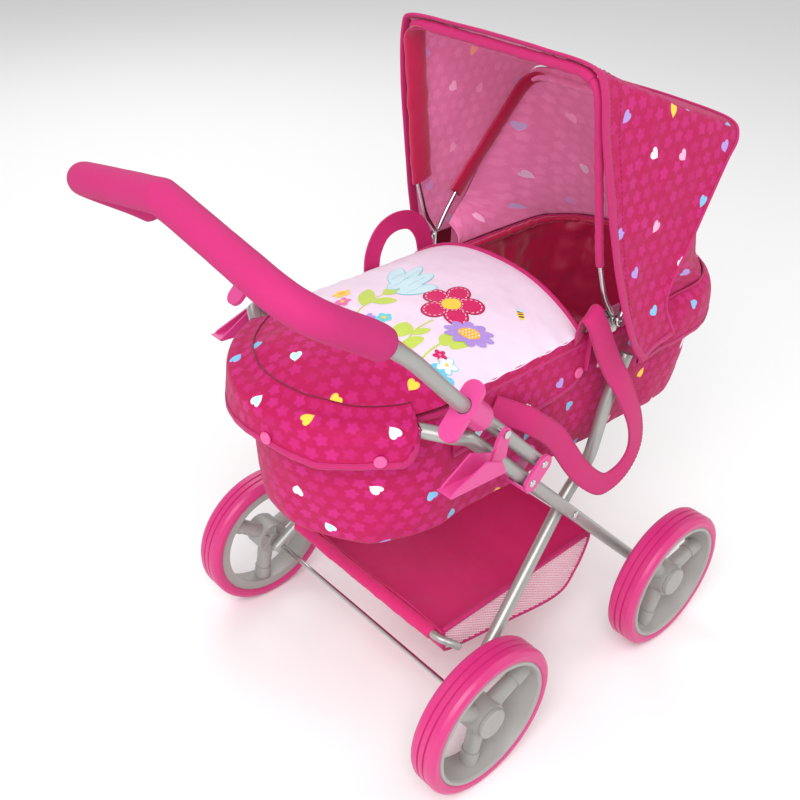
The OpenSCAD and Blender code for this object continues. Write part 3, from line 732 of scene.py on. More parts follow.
for end in ("front", "rear"):
    for hand in ("right", "left"):
        paint(f"tyre_{end}_{hand}", tyre_plastic, 0.35)
        paint(f"rim_{end}_{hand}", grey_plastic, 0.7)
        paint(f"hub_cap_{end}_{hand}", grey_plastic, 0.4)

# ---- carrycot ----

COUNT = 420
plan_along = outline(COUNT)[2]
profile = smooth_line([(-40, 0.6), (-26, 0), (-14, 3), (-7, 14), (-2, 60), (0, 126)], 9)
rows = []
for grow, z in profile[::-1]:
    low = max(0.0, 1 - abs((z - 22) / 34))
    folds = np.array([
        0.9 * low * math.sin(a / 14 + 1.8 * math.sin(a / 57)) + 0.5 * low * math.sin(a / 6.1 + 0.7)
        for a in plan_along])
    billow = -1.6 * math.sin(math.pi * min(1, max(0, z / 126))) * (0.6 + 0.4 * np.sin(plan_along / 48))
    rows.append(loop_at(grow + folds + billow * 0.5, COT_FLOOR + z, COUNT))
shell = rumple(rows, 1.5, 46, 1.0, share=np.array([[min(1, (126 - z) / 20 + 0.05)] * COUNT
                                                   for _, z in profile[::-1]]))
cot_shell = grid_piece("cot_shell", shell, print_out, thick=1.2, wrap=True, flip=True)
put(cot_shell, "chassis", ["carrycot_shell"])


def fan(name, loop, material):
    """A flat sheet filling a loop, facing down."""
    loop = np.array(loop)
    centre = np.array((loop[:, 0].mean(), 0, loop[:, 2].mean()))
    rings = [centre + (loop - centre) * k for k in (1, 0.8, 0.6, 0.4, 0.2, 0.02)]
    return grid_piece(name, rings, material, thick=1.0, wrap=True, flip=True,
                      uv=np.array([[(p[0], p[1]) for p in np.vstack([r, r[:1]])] for r in rings]))


under = fan("cot_underside", loop_at(-38, COT_FLOOR + 1.0, COUNT), basket_cloth)
put(under, "chassis")

lining_rows = []
for grow, z in smooth_line([(-2.6, 127.5), (-4.8, 124), (-5.4, 100), (-7.5, 60), (-12, 20),
                            (-20, 9), (-28, 6)]):
    share = 0.35 + 0.65 * z / 126
    gather = np.array([abs(math.sin((a + 0.35 * z) / 15 + 2.6 * math.sin(a / 47))) * 2.4
                       + abs(math.sin((a - 0.5 * z) / 31 + 1.7 * math.sin(a / 23))) * 2.4
                       for a in plan_along])
    lining_rows.append(loop_at(grow - share * gather, COT_FLOOR + z, COUNT))
fold_share = np.array([[min(1, (126 - row[0][2] + COT_FLOOR) / 14 + 0.1)] * COUNT
                       for row in lining_rows])
lining_rows = rumple(lining_rows, 3.2, 30, 41.0, fold_share)
lining = grid_piece("cot_lining", lining_rows, satin, thick=0.7, wrap=True)
put(lining, "chassis", ["carrycot_lining"])

hem_line = loop_at(-1.6, RIM_Z + 2.2, COUNT)
hem_radius = np.array([3.0 + 0.5 * fractal(p, 9, seed=5.0) for p in hem_line])


def ring_tube(name, loop, radius, material, sides=14):
    """A closed tube round a closed loop of points."""
    loop = np.array(loop, float)
    tangents = np.roll(loop, -1, 0) - np.roll(loop, 1, 0)
    radius = np.broadcast_to(radius, (len(loop),))
    grid = []
    for k in np.linspace(0, 2 * math.pi, sides, endpoint=False):
        row = []
        for p, t, r in zip(loop, tangents, radius):
            a = unit(np.cross(t, (0, 0, 1)))
            b = np.cross(a, unit(t))
            row.append(p + r * (math.cos(k) * a + math.sin(k) * b))
        grid.append(row)
    grid.append(grid[0])
    return grid_piece(name, grid, material, wrap=True, flip=True)


hem = ring_tube("rim_hem", hem_line, hem_radius, binding)
put(hem, "chassis")
roll_line = loop_at(-6.2, RIM_Z + 1.5, COUNT)
roll_radius = np.array([3.4 + 1.3 * fractal(p, 11, seed=8.0) for p in roll_line])
roll = ring_tube("lining_roll", roll_line, roll_radius, satin)
put(roll, "chassis")


def padded_slab(name, low, high, grow_mid, grow_edge, material):
    """A foam pad that fills the cot's floor, with a soft crown and drawn-in sides."""
    rows, depth = [], high - low
    for grow, z in smooth_line([(grow_edge - 6, low), (grow_mid, low + depth * 0.3),
                                (grow_mid, low + depth * 0.62), (grow_edge - 3, high - 1.6),
                                (grow_edge - 12, high)], 5):
        rows.append(loop_at(grow, z, 200))
    top = rows[-1]
    centre = np.array((top[:, 0].mean(), 0, high))
    for k in (0.9, 0.75, 0.6, 0.4, 0.2, 0.02):
        ring = centre + (top - centre) * k
        ring[:, 2] = high + 3.0 * (1 - k ** 2) + 0.8 * np.sin(ring[:, 0] / 23) * (1 - k)
        rows.append(ring)
    base = rows[0]
    first_centre = np.array((base[:, 0].mean(), 0, low))
    rows = [first_centre + (base - first_centre) * k for k in (0.02, 0.5, 0.95)] + rows
    return grid_piece(name, rows, material, wrap=True)


pad = padded_slab("cot_mattress", 247.3, 259.5, -31, -34, sheet_cloth)
put(pad, "chassis", ["mattress"])

# The cover over the foot half: a pale panel, then a printed foot end.
COVER_FRONT, COVER_SEAM, COVER_HALF, COVER_EDGE = 15.0, -132.0, 101.5, 378.0
CROWN, FOOT_CROWN = 35.0, 22.0


def cover_point(x, y, lift=0.0):
    t = (COVER_FRONT - x) / (COVER_FRONT - COVER_SEAM)
    crown = CROWN + (FOOT_CROWN - CROWN) * min(1, max(0, t))
    s = min(1.0, abs(y) / COVER_HALF)
    puff = 1.3 * fractal((x, y, 0), 44, seed=2.0) + 0.5 * fractal((x, y, 0), 15, seed=4.0)
    puff *= ((1 - s ** 6) * min(1, max(0, (COVER_FRONT - x) / 18))
             * min(1, max(0, (x - COVER_SEAM) / 14)))
    pucker = 0.9 * math.sin(x / 4.2 + 1.4 * math.sin(x / 17)) * max(0, (s - 0.86) / 0.14)
    dip = (-2.4 * math.exp(-((x - COVER_SEAM) / 5) ** 2)
           - 1.2 * math.exp(-((x - COVER_FRONT) / 4) ** 2))
    z = COVER_EDGE + crown * (1 - s ** 2.4) + puff + pucker + dip * (1 - s ** 8) + lift
    return np.array((x, y, z))


def cross_line(x, count, lift=0.0):
    return [cover_point(x, COVER_HALF * math.sin(math.pi / 2 * k), lift)
            for k in np.linspace(-1, 1, count)]


panel_rows = [cross_line(x, 81) for x in np.linspace(COVER_FRONT, COVER_SEAM, 62)]
panel = grid_piece("cover_panel_cloth", panel_rows, pale_panel, thick=1.6)
put(panel, "chassis", ["cover_panel"])


def foot_point(a, k):
    """The foot cover: a is the turn from the seam to the foot in degrees, k from -1 to 1 across."""
    r = math.radians(a)
    x = COVER_SEAM - 0.3 - (COVER_HALF - 1) * math.sin(r)
    half = COVER_HALF * math.cos(r)
    edge = COVER_EDGE + (RIM_Z + 6 - COVER_EDGE) * math.sin(r)
    crown = FOOT_CROWN * math.cos(r) + 2
    s = abs(k)
    z = edge + crown * (1 - s ** 2.4)
    inside = (1 - s ** 6) * math.sin(math.radians(min(a * 3, 90)))
    z += inside * (1.3 * fractal((x, half * k, 0), 30, seed=6.0)
                   + 1.0 * math.sin((x + 0.35 * abs(half * k)) / 11 + 2 * fractal((x, half * k, 0), 50)))
    z -= 2.2 * math.exp(-(a / 3.2) ** 2) * (1 - s ** 8)
    return np.array((x, half * k, z))


foot_rows = [[foot_point(a, math.sin(math.pi / 2 * k)) for k in np.linspace(-1, 1, 81)]
             for a in np.linspace(0, 84, 46)]
foot_uv = np.array([[(p[1], p[0]) for p in row] for row in foot_rows])
foot = grid_piece("foot_cover_cloth", foot_rows, print_out, thick=1.2, uv=foot_uv)
put(foot, "chassis", ["foot_cover"])


front_piping = tube("panel_front_binding", cross_line(COVER_FRONT, 60, 0.4), 2.1, binding, sides=12)
put(front_piping, "chassis")
seam_piping = tube("panel_seam_piping", cross_line(COVER_SEAM, 60, 0.9), 1.1, binding, sides=10)
put(seam_piping, "chassis")


# Motifs printed on the panel: outlines in the panel's own plan, laid just over the cloth.
def print_point(x, y, layer):
    return cover_point(x, y, 0.16 + 0.09 * layer)


def blob(cx, cy, outline_points, layer):
    """A filled shape round a middle point, as rings that follow the cloth."""
    ring = np.array(outline_points, float)
    centre = np.array((cx, cy))
    loops = [centre + (ring - centre) * k for k in (1, 0.75, 0.5, 0.25, 0.01)]
    n = len(ring)
    points = [print_point(p[0], p[1], layer) for loop in loops for p in loop]
    faces = [[i * n + j, i * n + (j + 1) % n, (i + 1) * n + (j + 1) % n, (i + 1) * n + j]
             for i in range(len(loops) - 1) for j in range(n)]
    following = np.roll(ring, -1, axis=0)
    if (ring[:, 0] * following[:, 1] - following[:, 0] * ring[:, 1]).sum() < 0:
        faces = [f[::-1] for f in faces]
    uvs = [(points[i][0] / 1000, points[i][1] / 1000) for f in faces for i in f]
    return np.array(points), faces, uvs


def oval(cx, cy, long, wide, turn, n=28, pinch=0.0):
    """An oval; pinch draws its two ends to points, as on a leaf."""
    c, s = math.cos(math.radians(turn)), math.sin(math.radians(turn))
    out = []
    for a in np.linspace(0, 2 * math.pi, n, endpoint=False):
        x, y = long * math.cos(a), wide * math.sin(a) * (1 - pinch * abs(math.cos(a)) ** 2)
        out.append((cx + x * c - y * s, cy + x * s + y * c))
    return out


def stem(points, wide, layer=0):
    """A narrow band along a line in the panel's plan."""
    line = resampled(smooth_line([(p[0], p[1], 0) for p in points], 8), 2.0)
    d = np.gradient(line, axis=0)
    d /= np.linalg.norm(d, axis=1)[:, None]
    side = np.column_stack([-d[:, 1], d[:, 0]])
    rows = [[print_point(*(p[:2] + k * wide / 2 * n), layer) for k in (1, 0, -1)]
            for p, n in zip(line, side)]
    n = len(rows)
    faces = [[i * 3 + j, (i + 1) * 3 + j, (i + 1) * 3 + j + 1, i * 3 + j + 1]
             for i in range(n - 1) for j in range(2)]
    points = np.array(rows).reshape(-1, 3)
    uvs = [(points[i][0] / 1000, points[i][1] / 1000) for f in faces for i in f]
    return points, faces, uvs


INKS = {name: cloth(f"ink_{name}", rgb, 0.75, wrinkle=0.1) for name, rgb in {
    "raspberry": (205, 28, 96), "deep": (160, 14, 70), "yellow": (252, 208, 70), "green": (190, 212, 88),
    "orange": (248, 176, 56), "purple": (170, 140, 214), "aqua": (108, 206, 222),
    "ice": (200, 230, 236), "white": (252, 246, 250), "black": (40, 34, 38),
    "sky": (104, 196, 222), "pink": (232, 110, 168)}.items()}
motifs = {ink: [] for ink in INKS}


def squeezed(cx, cy, points, share):
    """Points drawn towards a line through (cx, cy), along the panel's diagonal."""
    a, b = 0.73, 0.68
    return [(x - (1 - share) * a * (a * (x - cx) + b * (y - cy)),
             y - (1 - share) * b * (a * (x - cx) + b * (y - cy))) for x, y in points]


def flower(cx, cy, reach, petal_long, petal_wide, count, turn, ink, middle, middle_ink, layer=1,
           stitched=False, rim=None, share=1.0):
    for k in range(count):
        a = turn + 360 * k / count
        px, py = cx + reach * math.cos(math.radians(a)), cy + reach * math.sin(math.radians(a))
        if rim:
            motifs[rim].append(blob(px, py, oval(px, py, petal_long + 0.9, petal_wide + 0.9, a), layer))
        leaf = squeezed(cx, cy, oval(px, py, petal_long, petal_wide, a), share)
        (mx, my), = squeezed(cx, cy, [(px, py)], share)
        motifs[ink].append(blob(mx, my, leaf, layer + 1))
        if stitched:
            ring = oval(px, py, petal_long * 0.84, petal_wide * 0.84, a, 26)
            for i in range(0, 26, 2):
                motifs["white"].append(stem([ring[i], ring[(i + 1) % 26]], 0.55, layer + 2))
    motifs[middle_ink].append(blob(cx, cy, squeezed(cx, cy, oval(cx, cy, middle, middle, 0), share),
                                   layer + 4))


BLOOM = (-67, -27)
flower(*BLOOM, 15.8, 11.2, 9.6, 5, 24, "raspberry", 8.2, "yellow", 1, True, "deep")
motifs["raspberry"].append(blob(*BLOOM, oval(*BLOOM, 10.4, 10.4, 0), 4))
bloom_ring = oval(*BLOOM, 9.4, 9.4, 0, 32)
motifs["white"] += [stem([p, q], 0.5, 5) for p, q in zip(bloom_ring[::2], bloom_ring[1::2])]
motifs["green"].append(stem([(-93, -33), (-110, -34), (-128, -39)], 1.6, 0))
DAISY = (-80.5, -61.5)
flower(*DAISY, 14.0, 7.0, 4.6, 10, 10, "purple", 9.0, "orange", 6, share=0.62)
motifs["purple"].append(blob(*DAISY, squeezed(*DAISY, oval(*DAISY, 12.5, 12.5, 0), 0.62), 8))
for k in range(4):
    for j in range(4):
        (dot,) = squeezed(*DAISY, [(DAISY[0] + 3.6 * (k - 1.5), DAISY[1] + 3.6 * (j - 1.5))], 0.62)
        motifs["white"].append(blob(*dot, oval(*dot, 0.65, 0.65, 0, 8), 11))
for cx, cy, long, wide, turn in (
        (-101, -56.5, 8, 6, 20), (-93, -66, 12, 4.2, -8), (-120, -27, 8.8, 8.2, 30),
        (-112, -38.5, 8.5, 3.6, -20), (-127, -42.5, 12.5, 5.6, -14), (-138, -29, 6.5, 4.6, 60),
        (-108, 31.5, 14.5, 7.0, 42), (-103, 15.5, 10.8, 5.8, -48), (-88, 24, 7.5, 6.4, 0),
        (-138, -52, 6, 3, 10)):
    motifs["green"].append(blob(cx, cy, oval(cx, cy, long, wide, turn, 28, 0.25), 1))
motifs["green"].append(stem([(-104, -57), (-118, -58), (-131, -60)], 1.8, 0))
motifs["green"].append(stem([(-90, 24), (-106, 25), (-122, 21), (-131, 18)], 1.5, 0))
for cx, cy, turn in ((-64, 43, 42), (-58, 32, 18), (-63, 19, -6), (-72, 9, -34), (-70, 30, 10)):
    motifs["aqua"].append(blob(cx, cy, oval(cx, cy, 17.8, 7.8, turn), 1))
    motifs["ice"].append(blob(cx, cy, oval(cx, cy, 17.0, 7.0, turn), 3))
    motifs["aqua"].append(stem([(cx - 9, cy - 5 * math.sin(math.radians(turn))), (cx + 10, cy)], 0.5, 4))
flower(-115, 55.5, 4.4, 3.9, 3.1, 5, 0, "yellow", 2.6, "orange", 1)
flower(-129, 5.5, 3.6, 2.9, 2.4, 5, 30, "purple", 1.9, "raspberry", 1)
flower(-120, -4, 3.8, 3.2, 2.9, 5, 0, "aqua", 2.1, "yellow", 1)
flower(-117, -66, 3.2, 2.8, 2.0, 5, 10, "raspberry", 1.3, "pink", 1)
flower(-119, -76, 4.7, 3.8, 2.5, 5, 20, "white", 1.7, "yellow", 1, False, "aqua")
flower(-125, 42, 4.0, 3.2, 2.4, 5, 40, "pink", 1.8, "yellow", 1)
for k, y in enumerate((-88, -80, -73)):
    motifs["sky"].append(blob(-131 + 0.1 * k, y, [
        (max(-131.0, p[0]), p[1]) for p in oval(-131, y, 7, 5.2, 0, 24)], 1))
BEE = (-26, -67)
motifs["yellow"].append(blob(*BEE, oval(*BEE, 5.6, 3.0, 60), 1))
for k in (-2.6, 0, 2.4):
    cx, cy = BEE[0] + k * 0.5, BEE[1] + k * 0.87
    motifs["black"].append(blob(cx, cy, oval(cx, cy, 0.7, 2.7, 60, 12), 2))
motifs["ice"].append(blob(-23, -64, oval(-23, -64, 3.4, 1.8, 140, 14), 3))
for ink, parts in motifs.items():
    if parts:
        put(joined(f"panel_print_{ink}", parts, INKS[ink]), "chassis")

# Foot flap: sewn to the foot cover, over the bow of the push frame.
def foot_height(x, y):
    r = math.asin(min(0.99, max(0.0, (COVER_SEAM - 0.3 - x) / (COVER_HALF - 1))))
    k = max(-1.0, min(1.0, y / (COVER_HALF * math.cos(r))))
    return foot_point(math.degrees(r), k)[2]


def foot_spot(radius, angle, z):
    return np.array((FOOT_X + radius * math.cos(angle), radius * math.sin(angle), z))


SNAP_ANGLES = (127, 188, 233)
FLAP_ROWS, FLAP_COLUMNS, FLAP_FINE = 30, 150, 80
FLAP_RADIUS, FLAP_CORNER = 116, 15
flap_angles = np.radians(np.linspace(112, 248, FLAP_COLUMNS))
flap_columns = []
for a in flap_angles:
    near = min(abs(math.degrees(a) - k) for k in SNAP_ANGLES)
    scallop = 4.5 * min(1.0, near / 22) ** 1.5
    seam = foot_spot(94, a, 0)
    mid = foot_spot(100, a, 0)
    path = smooth_line([
        foot_spot(94, a, foot_height(seam[0], seam[1]) + 0.9),
        foot_spot(100.5, a, max(foot_height(mid[0], mid[1]) + 1.0, RIM_Z + 9.0)),
        foot_spot(108, a, RIM_Z + 8.3), foot_spot(114.2, a, RIM_Z + 5),
        foot_spot(116.4, a, RIM_Z - 1), foot_spot(116.9, a, RIM_Z - 10),
        foot_spot(118, a, RIM_Z - 24.5 - scallop)], 8)
    edge = min(a - flap_angles[0], flap_angles[-1] - a) * FLAP_RADIUS
    share = math.sqrt(max(0.0, 1 - max(0.0, (FLAP_CORNER - edge) / FLAP_CORNER) ** 2))
    fine = resampled(path, count=FLAP_FINE)
    keep = max(3, int(round(FLAP_FINE * (0.42 + 0.58 * share))))
    flap_columns.append(resampled(fine[:keep], count=FLAP_ROWS))
flap_rows = rumple(np.transpose(np.array(flap_columns), (1, 0, 2)), 0.9, 22, 9.0,
                   share=np.linspace(0, 1, FLAP_ROWS)[:, None] * np.ones((1, FLAP_COLUMNS)))
flap = grid_piece("foot_flap_cloth", flap_rows, print_out, thick=1.0, middle=(FOOT_X, 0, RIM_Z))
put(flap, "chassis", ["foot_flap"])


def edge_frame(grid, side, outward):
    """An edge of a grid: its points, the direction into the cloth and the outward normal."""
    g = np.array(grid)
    edge, inner = {"first": (g[0], g[2]), "last": (g[-1], g[-3]), "left": (g[:, 0], g[:, 2]),
                   "right": (g[:, -1], g[:, -3])}[side]
    inward = inner - edge
    tangent = np.gradient(edge, axis=0)
    tangent /= np.maximum(np.linalg.norm(tangent, axis=1), 1e-9)[:, None]
    inward -= tangent * (inward * tangent).sum(1)[:, None]
    inward /= np.maximum(np.linalg.norm(inward, axis=1), 1e-9)[:, None]
    normal = np.cross(tangent, inward)
    if (normal * (edge - np.array(outward, float))).sum() < 0:
        normal = -normal
    return edge, inward, normal


def tape_piece(name, grid, side, outward, wide=5.0, thick=1.2):
    """A folded tape sewn over an edge of a sheet, with a row of stitches near its inner edge."""
    edge, inward, normal = edge_frame(grid, side, outward)
    section = ((wide, 0.35), (wide * 0.92, 0.7), (wide * 0.5, 0.85), (wide * 0.12, 0.75), (-0.6, 0.2),
               (-0.6, -thick + 0.1), (wide * 0.12, -thick - 0.55), (wide * 0.9, -thick - 0.55),
               (wide, -thick - 0.1))
    rows = [edge + inward * c + normal * d for c, d in section]
    tape = grid_piece(name, rows, binding)
    sewn = stitches(f"{name}_stitches", [edge + inward * (wide - 0.9) + normal * 0.72], dark_thread,
                    pitch=3.4, long=2.3, thick=0.4)
    return tape, sewn


def ridden(pieces, body):
    for o in pieces:
        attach(o, body)


ridden(tape_piece("foot_flap_tape", flap_rows, "last", (FOOT_X, 0, RIM_Z), 5.2), "chassis")
# A dark tube along the flap's seam: the seam is real, its dark colour is painted shadow in the seam's
# crease.
seam_line = resampled(np.array(flap_rows)[0] + np.array((0, 0, 0.1)), 3)
put(tube("foot_seam_shadow", seam_line, 0.55, seam_shadow_cloth, sides=8), "chassis")


# Side flaps over the rim.
FLAP_TOP = 12
flap_low = resampled(smooth_line([(-132, -44), (-80, -44), (-23, -43), (10, -38), (25, -27),
                                  (28, -12), (26, 10)], 20), count=140)
for hand, sign in (("right", -1), ("left", 1)):
    rows = []
    for t in np.linspace(0, 1, 16):
        row = []
        for x, z in flap_low:
            h = FLAP_TOP + (z - FLAP_TOP) * t
            out = HALF + 0.9 + 0.3 * math.sin(x / 13 + 0.8 * math.sin(x / 31)) * t \
                + 0.4 * math.sin(math.pi * t) * (0.5 + 0.5 * math.sin(x / 40))
            row.append((min(x, 25.5), sign * out, RIM_Z + h))
        rows.append(row)
    rows = np.array(rows)
    uv = np.stack([rows[..., 0], rows[..., 2]], axis=2)
    piece = grid_piece(f"side_flap_cloth_{hand}", rows, print_out, thick=0.8, uv=uv,
                       middle=(-50, 0, RIM_Z))
    put(piece, "chassis", [f"side_flap_{hand}"])
    ridden(tape_piece(f"side_flap_tape_{hand}", rows, "last", (-50, 0, RIM_Z), 4.6, 0.8), "chassis")

# Snaps.
snap_parts = []
snap_profile = [(0, -0.4), (3.2, -0.4), (5.0, 0), (5.2, 0.9), (4.7, 1.7), (3.2, 2.1), (2.6, 1.8),
                (1.6, 1.7), (0, 1.75)]
for a in np.radians(SNAP_ANGLES):
    snap_parts.append(lathe_mesh(snap_profile, foot_spot(HALF + 18.0, a, RIM_Z - 18),
                                 (math.cos(a), math.sin(a), 0.05), 28))
for sign in (-1, 1):
    snap_parts.append(lathe_mesh(snap_profile, (17, sign * (HALF + 1.4), RIM_Z - 25), (0, sign, 0), 28))
put(joined("snap_studs", snap_parts, snap_plastic), "chassis", ["snaps"])

# Head skirt: a band outside the rim round the head end.
skirt_profile = smooth_line([(3, 6.5), (9, 0), (13, -12), (14, -26), (13, -38)], 6)


def head_ring(grow, z):
    """A line round the head end, from one side's front edge to the other's."""
    start, r = 88.0, HEAD_R + grow
    mid = np.array([(HEAD_X + r * math.cos(k),
                     (HEAD_SIDE if k > 0 else -HEAD_SIDE) + r * math.sin(k), z)
                    for k in np.radians(np.linspace(-90, 90, 150))])
    lead = [(x, mid[0][1], z) for x in np.linspace(start, HEAD_X, 10, endpoint=False)]
    tail = [(x, mid[-1][1], z) for x in np.linspace(HEAD_X, start, 11)[1:]]
    return np.vstack([lead, mid, tail])


skirt_rows = []
for s, (grow, z) in zip(np.linspace(0, 1, len(skirt_profile)), skirt_profile):
    ring = resampled(head_ring(grow, RIM_Z + z), count=220)
    along = length_along(ring)
    d = np.gradient(ring, axis=0)
    out = np.column_stack([d[:, 1], -d[:, 0], np.zeros(len(d))])
    out /= np.linalg.norm(out, axis=1)[:, None]
    ring = ring + out * (s * 0.9 * np.sin(along / 10 + 1.5 * np.sin(along / 37)))[:, None]
    skirt_rows.append(ring)
skirt_rows = rumple(skirt_rows, 0.9, 24, 12.0)
skirt = grid_piece("head_skirt_cloth", skirt_rows, print_out, thick=1.2, middle=(HEAD_X, 0, RIM_Z))
put(skirt, "chassis", ["head_skirt"])
ridden(tape_piece("head_skirt_tape", skirt_rows, "last", (HEAD_X, 0, RIM_Z), 5.0), "chassis")
put(tube("head_skirt_top_piping", resampled(head_ring(2.4, RIM_Z + 6.8), 3), 1.2, binding, sides=10),
    "chassis")


# Carry straps.
def strap_piece(name, path, half, sign, node):
    """A webbing strap along a path, flat against the cot, folded over where it turns sideways."""
    line = resampled(smooth_line([(x, sign * y, z) for x, y, z in path], 8), 3.0)
    d = np.gradient(line, axis=0)
    d /= np.linalg.norm(d, axis=1)[:, None]
    rows, folded = [], False
    for i, (p, t) in enumerate(zip(line, d)):
        folded = folded or (i > len(line) / 2 and abs(t[1]) > 0.45)
        side = unit(side - t * side.dot(t)) if folded else unit(np.cross(t, (0, 1, 0)))
        tilt = 0.12 * math.sin(i / 9)
        across_dir = side if folded else unit(side + np.array((0, tilt, 0)))
        rows.append([p + across_dir * half * k + np.array((0, sign * 0.5 * (1 - k * k), 0))
                     for k in (-1, -0.93, -0.6, -0.3, 0, 0.3, 0.6, 0.93, 1)])
    o = grid_piece(name, rows, webbing, thick=1.6, flip=sign < 0)
    put(o, "chassis", [node])
    edges = [np.array(rows)[:, k] + np.array((0, sign * 0.35, 0)) for k in (1, -2)]
    seam = stitches(f"{name}_stitches", edges, dark_thread)
    put(seam, "chassis")


strap_piece("strap_right", [
    (-92, 103.2, 352), (-82, 106, 346), (-62, 113, 334), (-50, 116.8, 324), (-24, 118, 300),
    (10, 122, 252), (42, 124, 221), (62, 124, 215), (82, 124, 222), (92, 124, 242), (84, 124, 275),
    (62, 121.5, 315), (44, 118.5, 342), (31, 117, 364), (20, 115.5, 386), (15, 113, 398),
    (13, 108, 403), (13, 102.5, 399), (14, 99.5, 386), (15, 98.5, 374)],
    11, -1, "carry_strap_right")
strap_piece("strap_left", [
    (-40, 104, 372), (-36, 106, 392), (-24, 108, 408), (-6, 109, 414), (14, 109, 410),
    (26, 107, 396), (30, 104, 374)], 9, 1, "carry_strap_left")

# ---- hood ----


def bow_line(half):
    return resampled(rounded(across(half), [10, 8, 20, 20, 8, 10], 8), 3.0)


FRONT_BOW_Y, REAR_BOW_Y = 106, 111.4
front_bow = bow_line([(HINGE[0], FRONT_BOW_Y, HINGE[2]), (30, FRONT_BOW_Y, 412), (17, 105.5, 450),
                      (-7, 98.5, 596)])
rear_bow = bow_line([(HINGE[0], REAR_BOW_Y, HINGE[2]), (60, REAR_BOW_Y, 402), (76, 112, 423),
                     (168, 110, 521)])


def bow_piece(name, line, y, body, node):
    """A bow's wire with an eye round the hinge pin at each end."""
    parts = [tube_mesh(line, 2.2, sides=14)]
    eye = [(2.1, -2.2), (4.6, -2.2), (4.6, 2.2), (2.1, 2.2), (2.1, -2.2)]
    for sign in (-1, 1):
        parts.append(lathe_mesh(eye, (HINGE[0], sign * y, HINGE[2]), (0, 1, 0), 24))
    put(joined(name, parts, steel), body, [node])


bow_piece("front_bow_wire", front_bow, FRONT_BOW_Y, "hood_front", "front_bow")
bow_piece("rear_bow_wire", rear_bow, REAR_BOW_Y, "hood_rear", "rear_bow")


def sleeve_on(name, line, low, radius, material, body):
    """A gathered cloth sleeve over the part of a bow above a height."""
    keep = resampled(line[line[:, 2] > low], 2.5)
    r = np.array([radius + 0.55 * fractal(p, 8, seed=11.0) for p in keep])
    put(tube(name, keep, r, material, sides=14), body)


def casing_on(name, line, low, high, wide, back, body):
    """A flat satin casing along one leg of a bow; back is how far its middle lies behind the bow."""
    keep = resampled(line[(line[:, 2] > low) & (line[:, 2] < high)], 3.0)
    rows = []
    tangents = np.gradient(keep, axis=0)
    for p, t in zip(keep, tangents):
        side = unit(np.cross(t, (0, 1, 0)))
        side = side if side[0] > 0 else -side
        crease = 1 + 0.10 * fractal(p, 14, seed=12.0)
        rows.append([p + side * (back + wide / 2 * crease * math.cos(k)) + np.array(
            (0, (2.8 + 0.5 * fractal(p + 9 * k, 7, seed=13.0)) * math.sin(k), 0))
            for k in np.linspace(0, 2 * math.pi, 25)])
    put(grid_piece(name, rows, satin, middle=keep.mean(axis=0)), body)


def leg_of(bow, sign):
    return bow[bow[:, 1] * sign > 40]


casing_on("front_bow_casing_left", leg_of(front_bow, 1), 447, 596, 24, 5.5, "hood_front")
for hand, sign in (("right", -1), ("left", 1)):
    casing_on(f"rear_bow_casing_{hand}", leg_of(rear_bow, sign), 420, 521, 17, 0, "hood_rear")
sleeve_on("front_bow_sleeve_right", leg_of(front_bow, -1), 440, 3.4, binding,
          "hood_front")
sleeve_on("front_bow_sleeve", front_bow, 590, 4.4, binding, "hood_front")
sleeve_on("rear_bow_sleeve", rear_bow, 516, 3.6, print_in, "hood_rear")

PER = 12
front_edge = smooth_line(across([
    (60, 135, 350), (43, 132, 375), (25, 124, 425), (10, 116.5, 484), (-4, 109.5, 550),
    (-9, 104.5, 590), (-11, 92, 603), (-11, 46, 605), (-11, 0, 605.5)]), PER)
rear_edge = smooth_line(across([
    (116, 126, 353), (96, 124.5, 393), (118, 121.5, 430), (140, 119.5, 466), (160, 118, 500),
    (172, 116.5, 518), (175, 104, 529.5), (176, 52, 533), (176, 0, 534)]), PER)
columns = len(front_edge)
index = np.arange(columns) / PER
roofness = np.clip((np.minimum(index, 16 - index) - 4.6) / 1.6, 0, 1)
between_bows = np.linspace(0, 1, 34)


def slack(rest):
    """How freely the cloth moves at each step between its two held edges, from rest to 1."""
    return np.array([[rest + (1 - rest) * math.sin(math.pi * t) ** 0.7] for t in between_bows])


canopy_rows = []
for t in between_bows:
    row = front_edge * (1 - t) + rear_edge * t
    row[:, 2] -= 3.2 * math.sin(math.pi * t) * roofness
    row[:, 1] -= np.sign(row[:, 1]) * 2.6 * math.sin(math.pi * t) * (1 - roofness)
    canopy_rows.append(row)
share = slack(0.15) * np.ones(columns)
grid = rumple(canopy_rows, 2.2, 62, 14.0, share)
grid = rumple(grid, 0.7, 17, 15.0, share)

side_uv, roof_uv = grid[..., [0, 2]], grid[..., [0, 1]]
split = int(5.55 * PER)
canopy = grid_piece("hood_canopy_cloth", grid, [print_out, print_in], thick=1.3,
                    uv=side_uv, regions=[(split, columns - 1 - split, roof_uv)])
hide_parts("hood_canopy")

bow_across = unit(unit(np.array((-57, 0, 214.0))) - unit(np.array((120, 0, 141.0))))
canopy_reach = 88
CANOPY_BLEND = (to_frame(HINGE - canopy_reach * bow_across),
                to_frame(HINGE + canopy_reach * bow_across))
back_across = np.array((-0.42, 0, 0.907))
BACK_BLEND = (to_frame(HINGE - 35 * back_across), to_frame(HINGE + 50 * back_across))


def with_canopy(o):
    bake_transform(o)


with_canopy(canopy)
ridge = tube("hood_ridge_binding", resampled(grid[-1] + np.array((0.6, 0, 0.6)), 2.5), 1.5, binding,
             sides=10)
with_canopy(ridge)
HOOD_MIDDLE = (60, 0, 430)
for tape_name, side, wide in (("front", "first", 8.0), ("side_left", "left", 5.0),
                              ("side_right", "right", 5.0)):
    for o in tape_piece(f"hood_tape_{tape_name}", grid, side, HOOD_MIDDLE, wide, 1.3):
        with_canopy(o)

